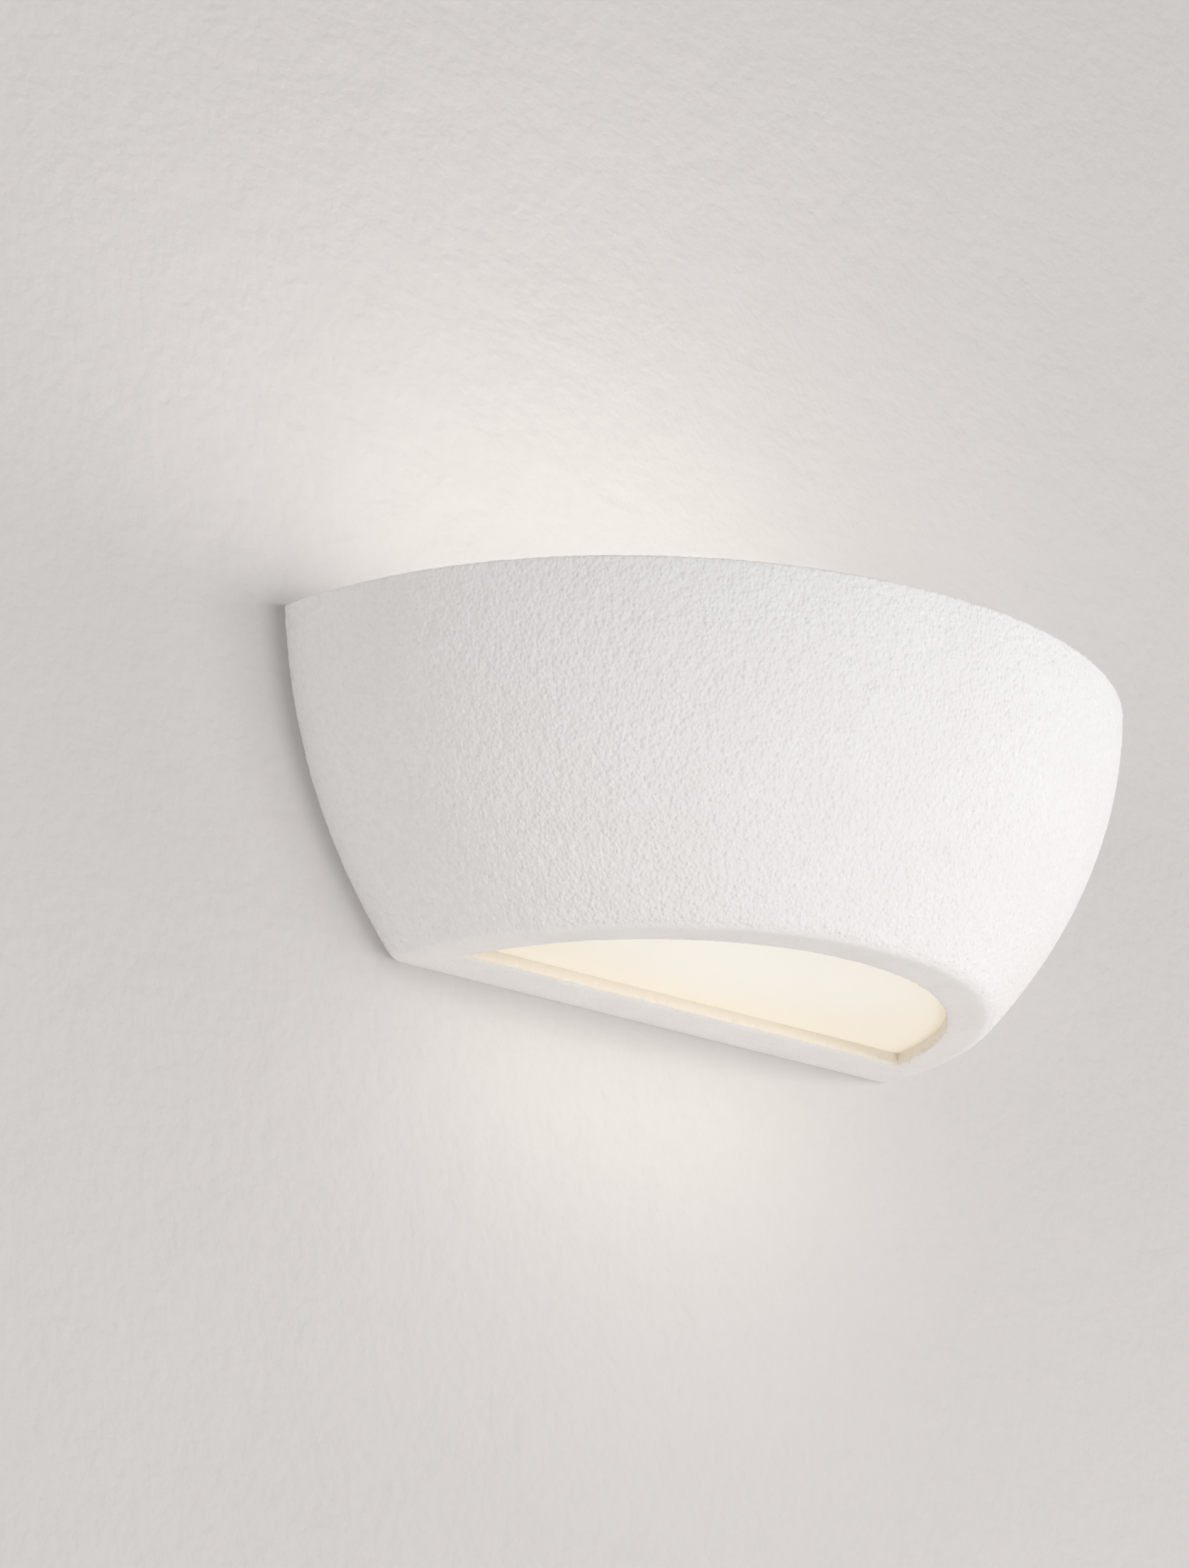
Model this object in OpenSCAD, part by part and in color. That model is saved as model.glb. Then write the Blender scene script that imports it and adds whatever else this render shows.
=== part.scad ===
// Uplighter wall sconce: a half bowl cast in plaster hangs on a steel wall bar and hides a
// double-ended linear lamp. The lamp shines up the wall through the open top, and down
// through a frosted pane that lies loose in a half-round window in the bowl's floor.
//
// Frame: X along the wall, the wall is the plane Y = 0, the bowl stands out towards -Y,
// and Z is up. The origin is the middle of the wall slots, on the wall.

/* [Bowl] */
// Width of the open rim along the wall
rim_w = 300; // [290:1:320]
// How far the rim stands out from the wall
rim_d = 149; // [144:1:160]
// Height from the underside to the rim
bowl_h = 104.5; // [100:0.5:115]
// Width of the underside along the wall
floor_w = 205; // [196:1:210]
// How far the underside stands out from the wall
floor_d = 116; // [110:1:120]
// Share of the sideways spread that the lower pull of the side curve gives
side_low = 0.69; // [0.6:0.01:0.75]
// Share of the sideways spread that the upper pull of the side curve gives
side_high = 0.925; // [0.88:0.005:1]
// Share of the forward spread that the lower pull of the front curve gives
front_low = 0.713; // [0.6:0.01:0.8]
// Share of the forward spread that the upper pull of the front curve gives
front_high = 1.127; // [1:0.005:1.18]
// Thickness of the cast wall
wall_t = 6.5; // [5:0.5:7.5]
// Thickness of the cast floor
floor_t = 8; // [7.5:0.5:10]
// Radius of the worn lower edge
foot_r = 2.5; // [2:0.5:6]
// Radius of the rim's two edges
rim_r = 1.2; // [0.5:0.1:2]
// Radius of the fillet inside, between the wall and the floor
inner_r = 5; // [3:0.5:7]

/* [Window and pane] */
// Floor left between the window and the side wall's foot
side_border = 12; // [11:0.5:14]
// Floor left between the window and the front wall's foot
front_border = 16.5; // [14:0.5:19]
// Floor left between the window's straight side and the wall
back_border = 20; // [17:0.5:24]
// Width of the ledge that carries the pane
ledge_w = 5; // [4:0.5:6]
// Thickness of the ledge under the pane
ledge_t = 3.9; // [3:0.1:4.2]
// Thickness of the frosted pane
pane_t = 3; // [2.5:0.1:3.2]
// Play of the pane in its rebate, on each side
pane_play = 0.5; // [0.3:0.1:1]

/* [Wall bar] */
// Height of the slots above the underside of the bowl
bar_up = 60; // [57:1:63]
// Thickness of the bar's steel
bar_t = 2; // [1.5:0.1:2.5]
// Reach of the bar below the slots
bar_low = 18; // [16:1:20]
// Reach of the bar above the slots
bar_high = 24; // [23:1:26]
// How far the bar's ends stand off the wall
end_off = 10; // [9.5:0.5:12]
// Width of the bar's rounded ends
end_w = 20; // [17:1:22]
// Gap between the bar's ends and the bowl
end_gap = 3; // [2:0.5:5]
// Distance between the two wall slots
slot_pitch = 60; // [56:1:62]
// Width of a wall slot
slot_w = 5; // [4.5:0.1:6]
// Length of a wall slot from end to end
slot_l = 12; // [10:0.5:14]
// Diameter of the hole for the cable bush
bush_hole = 13; // [12.5:0.1:14]
// Bore of the cable bush
bush_bore = 8; // [6:0.5:9]

/* [Thumbscrews] */
// Diameter of the thumbscrew's shank
screw_d = 5; // [4:0.5:5]
// Diameter of the knurled head
head_d = 16; // [13:0.5:18]
// Height of the knurled head
head_h = 10; // [8:0.5:12]
// Number of grooves round the head
knurls = 24; // [16:1:30]
// Thickness of the washer under the head
washer_t = 1.2; // [1:0.1:2]
// Thickness of the lug that each thumbscrew clamps
lug_t = 8; // [6:0.5:9]

/* [Lamp] */
// Distance between the two end contacts of the lamp
lamp_l = 114.2; // [110:0.2:118]
// Diameter of the lamp's quartz tube
tube_d = 10; // [8:0.5:11]
// Thickness of the quartz
tube_t = 1; // [0.8:0.1:1.3]
// Diameter of the lamp's ceramic ends
cap_d = 9.6; // [8.6:0.1:10.4]
// Distance of the lamp's axis from the wall
lamp_out = 70; // [68:1:76]
// Height of the lamp's axis above the slots
lamp_up = 15; // [14.5:0.5:16]
// Travel of the sprung contact
push = 3.5; // [3:0.1:4]

/* [Lamp holders and cradle] */
// Outer diameter of a ceramic holder
barrel_d = 17; // [15:0.5:18]
// Bore of the cup that takes the lamp's end
cup_d = 12.6; // [12:0.1:13]
// Side of the holder's square foot
foot_w = 20; // [19:0.5:21]
// Thickness of the holder's square foot
foot_t = 4; // [3:0.5:5]
// Thickness of the mica sheet behind each holder
mica_t = 0.8; // [0.5:0.1:1]
// Thickness of the cradle's steel
cradle_t = 1.5; // [1.2:0.1:2]
// Width of the cradle's strip
cradle_w = 14; // [13:0.5:15]

/* [Reflector] */
// Length of the reflector along the lamp
reflector_l = 108; // [96:1:110]
// Radius of the reflector's curve round the lamp
reflector_r = 32; // [28:1:34]
// Thickness of the reflector's sheet
reflector_t = 0.8; // [0.6:0.1:1]
// Angle above the lamp's axis that the reflector reaches
reflector_top = 50; // [40:1:58]

/* [Wiring] */
// Distance from one pole of the terminal block to the next
pole_pitch = 9; // [9:0.5:9.5]
// Height of the terminal block
block_h = 15; // [14:0.5:16]
// How far the terminal block stands off the bar
block_d = 12; // [11:0.5:13]
// Diameter of a sleeved lead
lead_d = 2.4; // [1.8:0.1:2.6]

/* [Hidden] */

// Counts of straight stretches: round the bowl, up its wall, round an edge and round a hole
arc_n = 44;
rise_n = 11;
edge_n = 4;
hole_fn = 48;
// Overshoot of a cut past the face it opens
cut = 1;

// Heights, all measured from the slots
floor_z = -bar_up;

// The window, its rebate and the pane are half ellipses about the wall line, cut off short of it
window_a = floor_w / 2 - side_border;
window_b = floor_d - front_border;

// The wall bar ends inside the bowl. Its thumbscrews sit a little in from the middles of its
// rounded ends, and the bends start further in, past the clinch nuts.
screw_in = 2;
bend_in = 4;
bend_run = 5;
bend_shift = 1;
bar_half = inner_half(bar_up - end_w / 2) - end_gap;
screw_x = bar_half - end_w / 2 - screw_in;
bend_x = screw_x - end_w / 2 - bend_in;
end_front = -end_off - bar_t;
nut_h = 4;
nut_af = 8;
hole_play = 0.8;
thread_play = 0.1;
tip_out = 2;
shank_tip = -end_off + nut_h + tip_out;

// The lugs are bonded in the bowl's back corners, in front of the bar's ends
lug_in = 13;
lug_up = 20;
lug_cut = 6;
lug_bond = 0.2;
lug_x = screw_x - lug_in;
lug_front = end_front - lug_t;
lug_top = bar_up + lug_up;
head_back = lug_front - washer_t;
neck_d = head_d * 0.7;
washer_d = head_d * 0.75;

// Along the lamp, outwards from its middle: the contact, the ceramic end's lip, the holder's
// cup, the ceramic behind the cup, the chamber with the pin's collar, the foot and the mica
cap_lip = 1.7;
cup_mouth = 1.1;
cup_play = 1.4;
push_play = 1;
cup_wall = 2.4;
chamber_l = 4.4;
button_x = lamp_l / 2;
cap_end = button_x + cap_lip;
mouth_x = button_x - cup_mouth;
cup_fixed = cap_end + cup_play;
cup_sprung = cap_end + push + push_play;
collar_x = cup_sprung + cup_wall;
collar_t = 1.5;
collar_d = 6.6;
chamber_d = 7;
pin_d = 3;
pin_play = 0.2;
foot_x = collar_x + chamber_l;
mica_x = foot_x + foot_t;
arm_x = mica_x + mica_t;
cup_slot = cup_d - 2;
lead_play = 0.6;
lead_in = 1.9;
lead_x = foot_x - lead_in;
lead_hole = lead_d + lead_play;
holder_screw_d = 2.5;
holder_screw_in = 2.4;
holder_screw_at = foot_w / 2 - holder_screw_in;

// Lamp: the tube is drawn down to a flat pinch, and each ceramic end sits on the pinch's tip
neck_l = 20;
cap_l = 14.7;
pinch_w = tube_d * 0.8;
pinch_t = 2.4;
pinch_in = 7;
pinch_fit = 0.1;
tube_half = button_x - neck_l;
cap_in = cap_end - cap_l;
button_t = 1.2;
button_d = 4.8;

// Cradle: a strip bent to a U in plan, screwed to the bar above the slots
web_front = -bar_t - cradle_t;
cradle_screw_x = 36;
cradle_screw_d = 4;
cradle_low = lamp_up - cradle_w / 2;
cradle_high = lamp_up + cradle_w / 2;
arm_reach = lamp_out + foot_w / 2;

// Cable bush: its flange clears the cradle above it
bush_flange = 2;
bush_play = 0.3;
flange_d = min(bush_hole + 2 * bush_flange, 2 * (cradle_low - bush_play));

// Reflector: its shelf leaves the cradle's web just above the strip's lower edge
shelf_w = 40;
shelf_in = 1;
shelf_z = cradle_low + shelf_in;
rivet_x = 12;
rivet_d = 3;

// Terminal block and earth point
block_x = 56;
block_z = -5.5;
poles = [-1, 0, 1];
block_low = block_d * 0.62;
block_front = -bar_t - block_d;
block_screw_d = 2.5;
pole_rib = pole_pitch * 0.8;
pole_screw_d = 2.6;
pole_screw_in = 0.6;
tube_od = 5;
tube_in = 1.5;
tube_bore = lead_hole;
pole_y = -bar_t - block_d * 0.55;
earth_x = 79;
earth_z = -8;
earth_d = 4;
tag_t = 0.8;

// Leads: routes in round numbers, tied to the poles and the holders
clip_x = 24;
clip_up = 4;
clip_out = 3;
clip_wall = 1.3;
clip_play = 0.5;
clip_z = cradle_high + clip_up;
clip_y = web_front - clip_out;
block_top = block_z + block_h / 2;
lead_end = -lamp_out + chamber_d / 2 + lead_play / 2;
lead_low = block_top - 4;
live_pole = block_x - pole_pitch;
earth_pole = block_x + pole_pitch;
live_route = [[live_pole, pole_y, lead_low], [live_pole, pole_y, block_top + 2],
    [live_pole - 1, pole_y, block_top + 10], [live_pole - 4, clip_y - 1, clip_z - 5],
    [live_pole - 11, clip_y, clip_z], [clip_x, clip_y, clip_z], [0, clip_y, clip_z],
    [-clip_x, clip_y, clip_z], [-clip_x - 16, clip_y, clip_z], [-lead_x + 12, clip_y - 1, clip_z - 1],
    [-lead_x + 2, clip_y - 6, lamp_up + 7], [-lead_x, clip_y - 16, lamp_up + 2],
    [-lead_x, -lamp_out + 26, lamp_up], [-lead_x, -lamp_out + 12, lamp_up], [-lead_x, lead_end, lamp_up]];
neutral_route = [[block_x, pole_y, lead_low], [block_x, pole_y, block_top + 2],
    [block_x + 1, pole_y - 2, block_top + 10], [block_x + 6, pole_y - 7, lamp_up + 5],
    [lead_x - 1, pole_y - 16, lamp_up + 3], [lead_x, -lamp_out + 26, lamp_up],
    [lead_x, -lamp_out + 12, lamp_up], [lead_x, lead_end, lamp_up]];
earth_route = [[earth_pole, pole_y, lead_low], [earth_pole, pole_y, block_top + 2],
    [earth_pole + 2, pole_y, block_top + 4.5], [earth_pole + 8, pole_y + 1, block_top + 4],
    [earth_x - 1, pole_y + 2, block_top - 1], [earth_x, -bar_t - lead_d, 2],
    [earth_x, -bar_t - tag_t - lead_d / 2 - 0.1, earth_z + 6]];

// ---- Curves ----

// Height along a cubic curve whose two middle points lie at shares of the way from a to b
function pull(t, a, b, low, high) =
    let (p = a + (b - a) * low, q = a + (b - a) * high)
    a * pow(1 - t, 3) + 3 * p * pow(1 - t, 2) * t + 3 * q * (1 - t) * t * t + b * pow(t, 3);

// Half width and reach of the bowl's outside at a height h over its underside
function outer_half(h) = pull(h / bowl_h, floor_w / 2, rim_w / 2, side_low, side_high);
function outer_reach(h) = pull(h / bowl_h, floor_d, rim_d, front_low, front_high);
function inner_half(h) = outer_half(h) - wall_t;
// Half width of the inside at height h, in the plane at y
function inner_side(h, y) = inner_half(h) * sqrt(1 - pow(y / (outer_reach(h) - wall_t), 2));

// One station of the bowl's section: [height over the underside, inset from the outside]
foot_stations = [for (i = [0 : edge_n]) let (s = 90 * i / edge_n)
    [foot_r * (1 - cos(s)), foot_r * (1 - sin(s))]];
side_stations = [for (i = [1 : rise_n]) [foot_r + (bowl_h - rim_r - foot_r) * i / rise_n, 0]];
rim_stations = [[bowl_h - rim_r * 0.3, rim_r * 0.3], [bowl_h, rim_r],
    [bowl_h, wall_t - rim_r], [bowl_h - rim_r * 0.3, wall_t - rim_r * 0.3]];
inside_stations = [for (i = [0 : rise_n - 1])
    [bowl_h - rim_r - (bowl_h - rim_r - floor_t - inner_r) * i / (rise_n - 1), wall_t]];
fillet_stations = [for (i = [1 : edge_n]) let (s = 90 * i / edge_n)
    [floor_t + inner_r * (1 - sin(s)), wall_t + inner_r * (1 - cos(s))]];
wall_stations = concat(foot_stations, side_stations, rim_stations, inside_stations, fillet_stations);

function wall_point(station, angle) =
    [(outer_half(station[0]) - station[1]) * cos(angle),
     -(outer_reach(station[0]) - station[1]) * sin(angle),
     floor_z + station[0]];

// Half ellipse about the origin of the wall line, grown by g and cut off at the back border
function d_outline(g) =
    let (a = window_a + g, b = window_b + g, back = back_border - g, start = asin(back / b))
    [for (i = [0 : arc_n]) let (s = start + (180 - 2 * start) * i / arc_n)
        [a * cos(s), -b * sin(s)]];

// Smooth curve through the points of a route, with n stretches between each two
function at(p, i) = p[max(0, min(len(p) - 1, i))];
function spline(p, n) = concat(
    [for (i = [0 : len(p) - 2]) for (j = [0 : n - 1])
        let (t = j / n, a = at(p, i - 1), b = at(p, i), c = at(p, i + 1), d = at(p, i + 2))
        (2 * b + (c - a) * t + (2 * a - 5 * b + 4 * c - d) * t * t
            + (3 * b - a - 3 * c + d) * t * t * t) / 2],
    [p[len(p) - 1]]);

function unit(v) = v / norm(v);
function heading(p, i) = unit(at(p, i + 1) - at(p, i - 1));
// Sideways direction carried along the path, so the tube doesn't twist
function sideways(p, i, previous) = let (h = heading(p, i)) unit(previous - h * (previous * h));
function frames(p, i, previous) =
    i == len(p) ? [] : let (s = sideways(p, i, previous)) concat([s], frames(p, i + 1, s));

// ---- Shared shapes ----

// Cylinder along Y from y0 to y1, at x and z
module rod_y(x, z, y0, y1, d) {
    translate([x, min(y0, y1), z])
        rotate([-90, 0, 0])
            cylinder(d = d, h = abs(y1 - y0), $fn = hole_fn);
}

// Cylinder along the lamp's axis from x0 to x1
module rod_lamp(x0, x1, d) {
    translate([min(x0, x1), -lamp_out, lamp_up])
        rotate([0, 90, 0])
            cylinder(d = d, h = abs(x1 - x0), $fn = hole_fn);
}

module box(low, high) {
    translate(low)
        cube(high - low);
}

// Round tube swept along the points of a path
module swept(path, d, sides) {
    side = frames(path, 0, [0.13, 0.31, 0.94]);
    points = [for (i = [0 : len(path) - 1]) for (k = [0 : sides - 1])
        let (a = 360 * k / sides, s = side[i], u = cross(heading(path, i), s))
        path[i] + (s * cos(a) + u * sin(a)) * d / 2];
    last = (len(path) - 1) * sides;
    faces = concat(
        [[for (k = [0 : sides - 1]) k]],
        [for (i = [0 : len(path) - 2]) for (k = [0 : sides - 1]) let (m = (k + 1) % sides)
            each [[i * sides + k, (i + 1) * sides + k, (i + 1) * sides + m],
                  [i * sides + k, (i + 1) * sides + m, i * sides + m]]],
        [[for (k = [sides - 1 : -1 : 0]) last + k]]);
    polyhedron(points, faces);
}

// Pan-head screw along Y: its head stands on the plane y = seat, its shank runs back from it
module pan_screw(x, z, seat, shank_l, d) {
    head = d * 0.55;
    difference() {
        union() {
            rod_y(x, z, seat, seat + shank_l, d - thread_play);
            translate([x, seat, z])
                rotate([90, 0, 0])
                    rotate_extrude($fn = hole_fn)
                        polygon([[0, 0], [d * 0.95, 0], [d * 0.95, head * 0.5], [d * 0.72, head], [0, head]]);
        }
        box([x - d, seat - head - cut, z - d * 0.13], [x + d, seat - head * 0.5, z + d * 0.13]);
    }
}

// ---- Bowl ----

// Half bowl as one closed skin. Each section runs up the outside, over the rim, down the inside
// and across the floor to the pane's rebate and the window. The wall's ends lie flat on the
// wall plane, and behind the window the floor's steps run straight from one side to the other.
module bowl() {
    rebate = d_outline(ledge_w);
    window = d_outline(0);
    walls = len(wall_stations);
    m = walls + 4;
    points = [for (i = [0 : arc_n]) each concat(
        [for (station = wall_stations) wall_point(station, 180 * i / arc_n)],
        [[each rebate[i], floor_z + floor_t], [each rebate[i], floor_z + ledge_t],
         [each window[i], floor_z + ledge_t], [each window[i], floor_z]])];
    skin = [for (i = [0 : arc_n - 1]) for (j = [0 : m - 1])
        let (a = i * m + j, b = i * m + (j + 1) % m)
        each [[a, b + m, b], [a, a + m, b + m]]];
    // Each end pairs the outside's stations with the inside's, from the rim down to the foot
    last = arc_n * m;
    rim = edge_n + rise_n + 2;
    pairs = walls - rim - 2;
    right_end = [for (k = [0 : pairs - 1]) [rim - k - 1, rim - k, rim + 1 + k, rim + 2 + k]];
    left_end = [for (face = right_end) [for (k = [3 : -1 : 0]) last + face[k]]];
    foot_ends = [[0, 1, walls - 1], [last + walls - 1, last + 1, last],
        [0, walls - 1, last + walls - 1, last]];
    floor_back = [for (j = [walls - 1 : m - 1]) let (k = (j + 1) % m) [j, k, last + k, last + j]];
    color([0.86, 0.84, 0.82])
        polyhedron(points, concat(skin, right_end, left_end, foot_ends, floor_back));
}

// Block bonded in each back corner, shaped to the bowl's inside, with the thumbscrew's bore
module lug() {
    steps = 8;
    low = floor_t + inner_r + 1;
    edge = [for (i = [0 : steps]) let (h = lug_top - (lug_top - low) * i / steps)
        [inner_side(h, lug_front) - lug_bond, floor_z + h]];
    difference() {
        translate([0, lug_front, 0])
            rotate([-90, 0, 0])
                mirror([0, 1, 0])
                    linear_extrude(lug_t)
                        polygon(concat([[lug_x, floor_z + low], [lug_x, floor_z + lug_top - lug_cut],
                            [lug_x + lug_cut, floor_z + lug_top]], edge));
        rod_y(screw_x, 0, lug_front - cut, end_front + cut, screw_d + hole_play);
    }
}

module corner_lugs() {
    color([0.84, 0.82, 0.80]) {
        lug();
        mirror([1, 0, 0])
            lug();
    }
}

module diffuser_pane() {
    color([0.97, 0.92, 0.84])
        translate([0, 0, floor_z + ledge_t])
            linear_extrude(pane_t)
                polygon(d_outline(ledge_w - pane_play));
}

// ---- Wall bar ----

module bar_outline() {
    square_w = 2 * bend_x;
    translate([-bend_x, -bar_low])
        square([square_w, bar_low + bar_high]);
    for (side = [-1, 1])
        translate([side * (bar_half - end_w / 2), 0])
            circle(d = end_w, $fn = hole_fn);
    translate([-bar_half + end_w / 2, -end_w / 2])
        square([2 * bar_half - end_w, end_w]);
}

module slot(x) {
    run = (slot_l - slot_w) / 2;
    for (dx = [-run, run])
        rod_y(x + dx, 0, cut, -bar_t - cut, slot_w);
    box([x - run, -bar_t - cut, -slot_w / 2], [x + run, cut, slot_w / 2]);
}

module wall_bar() {
    bent_x = bend_x + bend_run;
    half = [[bend_x, 0], [bent_x, -end_off], [bar_half + cut, -end_off],
        [bar_half + cut, end_front], [bent_x - bend_shift, end_front], [bend_x - bend_shift, -bar_t]];
    mirrored = [for (i = [len(half) - 1 : -1 : 0]) [-half[i][0], half[i][1]]];
    color([0.80, 0.81, 0.82])
        difference() {
            intersection() {
                translate([0, 0, -bar_low - cut])
                    linear_extrude(bar_low + bar_high + 2 * cut)
                        polygon(concat(half, mirrored));
                translate([0, cut, 0])
                    rotate([90, 0, 0])
                        linear_extrude(end_off + bar_t + 2 * cut)
                            bar_outline();
            }
            slot(-slot_pitch / 2);
            slot(slot_pitch / 2);
            rod_y(0, 0, cut, -bar_t - cut, bush_hole);
            for (side = [-1, 1]) {
                rod_y(side * screw_x, 0, -end_off + cut, end_front - cut, screw_d + hole_play);
                rod_y(side * cradle_screw_x, lamp_up, cut, -bar_t - cut, cradle_screw_d);
            }
            rod_y(earth_x, earth_z, cut, -bar_t - cut, earth_d);
            for (side = [-1, 1])
                rod_y(block_x + side * pole_pitch / 2, block_z, cut, -bar_t - cut, block_screw_d);
        }
}

module clinch_nuts() {
    color([0.72, 0.72, 0.70])
        for (side = [-1, 1])
            difference() {
                translate([side * screw_x, -end_off + nut_h, 0])
                    rotate([90, 0, 0])
                        cylinder(d = nut_af / cos(30), h = nut_h, $fn = 6);
                rod_y(side * screw_x, 0, -end_off - cut, -end_off + nut_h + cut, screw_d + thread_play);
            }
}

module cable_bush() {
    color([0.16, 0.16, 0.17])
        difference() {
            union() {
                rod_y(0, 0, -bar_t - bush_flange, -bar_t, flange_d);
                rod_y(0, 0, -bar_t, 0, bush_hole - thread_play);
            }
            rod_y(0, 0, cut, -bar_t - bush_flange - cut, bush_bore);
        }
}

// ---- Thumbscrews ----

module thumbscrew(side) {
    groove = 1.2;
    collar_h = 1.5;
    color([0.78, 0.66, 0.38])
        difference() {
            union() {
                rod_y(side * screw_x, 0, head_back, shank_tip, screw_d - thread_play);
                rod_y(side * screw_x, 0, head_back - head_h, head_back - collar_h, head_d);
                rod_y(side * screw_x, 0, head_back - collar_h, head_back, neck_d);
            }
            for (k = [0 : knurls - 1])
                let (a = 360 * k / knurls)
                rod_y(side * screw_x + head_d / 2 * cos(a), head_d / 2 * sin(a),
                    head_back - head_h - cut, head_back - collar_h + cut / 2, groove);
        }
}

module washer(side) {
    color([0.93, 0.92, 0.88])
        difference() {
            rod_y(side * screw_x, 0, head_back, lug_front, washer_d);
            rod_y(side * screw_x, 0, head_back - cut, lug_front + cut, screw_d + thread_play);
        }
}

module thumbscrew_left() { thumbscrew(-1); }
module thumbscrew_right() { thumbscrew(1); }
module washer_left() { washer(-1); }
module washer_right() { washer(1); }

// ---- Cradle and holders ----

module lamp_cradle() {
    rivet_hole = rivet_d + thread_play;
    color([0.84, 0.85, 0.86])
        difference() {
            union() {
                box([-arm_x - cradle_t, web_front, cradle_low], [arm_x + cradle_t, -bar_t, cradle_high]);
                for (side = [-1, 1]) {
                    x0 = min(side * arm_x, side * (arm_x + cradle_t));
                    box([x0, -lamp_out, cradle_low], [x0 + cradle_t, -bar_t, cradle_high]);
                    box([x0, -arm_reach, lamp_up - foot_w / 2], [x0 + cradle_t, -lamp_out + foot_w / 2,
                        lamp_up + foot_w / 2]);
                }
            }
            for (side = [-1, 1]) {
                rod_y(side * cradle_screw_x, lamp_up, -bar_t + cut, web_front - cut, cradle_screw_d + 0.4);
                rod_y(side * rivet_x, lamp_up, -bar_t + cut, web_front - cut, rivet_hole);
                holder_screw_holes(side, arm_x - cut, arm_x + cradle_t + cut);
            }
        }
}

// Two holes or shanks on a diagonal of a holder's foot
module holder_screw_holes(side, x0, x1, d = holder_screw_d) {
    for (s = [-1, 1])
        translate([side * x0, -lamp_out + s * holder_screw_at, lamp_up - s * holder_screw_at])
            rotate([0, side * 90, 0])
                cylinder(d = d, h = x1 - x0, $fn = hole_fn);
}

module cradle_screws() {
    color([0.75, 0.75, 0.74])
        for (side = [-1, 1])
            pan_screw(side * cradle_screw_x, lamp_up, web_front, -web_front, cradle_screw_d);
}

// Ceramic holder: square foot, round barrel, an open cup for the lamp's end, a bore for the
// pin and a chamber behind it. The cup is slotted upwards, so the lamp can be tipped in.
module holder(side, cup_x) {
    color([0.93, 0.92, 0.88])
        difference() {
            union() {
                rod_lamp(side * mouth_x, side * (foot_x + cut), barrel_d);
                x0 = min(side * foot_x, side * mica_x);
                box([x0, -lamp_out - foot_w / 2, lamp_up - foot_w / 2],
                    [x0 + foot_t, -lamp_out + foot_w / 2, lamp_up + foot_w / 2]);
            }
            rod_lamp(side * (mouth_x - cut), side * cup_x, cup_d);
            s0 = min(side * (mouth_x - cut), side * cup_x);
            box([s0, -lamp_out - cup_slot / 2, lamp_up],
                [s0 + cup_x - mouth_x + cut, -lamp_out + cup_slot / 2, lamp_up + barrel_d]);
            rod_lamp(side * (cup_x - cut), side * (collar_x + cut), pin_d + pin_play);
            rod_lamp(side * collar_x, side * (mica_x + cut), chamber_d);
            rod_y(side * lead_x, lamp_up, -lamp_out, -lamp_out + barrel_d, lead_hole);
            holder_screw_holes(side, foot_x - cut, mica_x + cut);
        }
}

module holder_sprung() { holder(-1, cup_sprung); }
module holder_fixed() { holder(1, cup_fixed); }

module holder_micas() {
    color([0.80, 0.76, 0.62])
        for (side = [-1, 1])
            difference() {
                x0 = min(side * mica_x, side * arm_x);
                box([x0, -lamp_out - foot_w / 2, lamp_up - foot_w / 2],
                    [x0 + mica_t, -lamp_out + foot_w / 2, lamp_up + foot_w / 2]);
                holder_screw_holes(side, mica_x - cut, arm_x + cut);
            }
}

// Each screw has its head on the ceramic foot and its nut on the cradle's arm
module holder_screws() {
    head = 1.4;
    head_w = holder_screw_d * 1.7;
    nut_x = arm_x + cradle_t;
    color([0.75, 0.75, 0.74])
        for (side = [-1, 1]) {
            holder_screw_holes(side, foot_x - head, foot_x, head_w);
            holder_screw_holes(side, foot_x - head, nut_x + head, holder_screw_d - thread_play);
            holder_screw_holes(side, nut_x, nut_x + head, head_w);
        }
}

// Pin that presses on the lamp's end: it rides in the holder's bore and its collar backs it
module contact(side, stem_end) {
    rod_lamp(side * button_x, side * (collar_x + collar_t), pin_d);
    rod_lamp(side * collar_x, side * (collar_x + collar_t), collar_d);
    rod_lamp(side * (collar_x + collar_t), side * stem_end, pin_d);
}

module contact_plunger() {
    stub = 0.6;
    color([0.80, 0.55, 0.36])
        contact(-1, collar_x + collar_t + stub);
}

module contact_fixed() {
    color([0.80, 0.55, 0.36])
        contact(1, mica_x);
}

// Compression spring between the plunger's collar and the mica
module contact_spring() {
    wire = 0.6;
    turns = 4.5;
    steps = 8;
    seat = thread_play + wire / 2;
    x0 = collar_x + collar_t + seat;
    run = mica_x - seat - x0;
    r = (collar_d - wire) / 2 - pin_play;
    path = [for (i = [0 : turns * steps]) let (a = 360 * i / steps)
        [-x0 - run * i / (turns * steps), -lamp_out + r * cos(a), lamp_up + r * sin(a)]];
    color([0.70, 0.70, 0.68])
        swept(path, wire, 6);
}

// ---- Lamp ----

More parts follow.
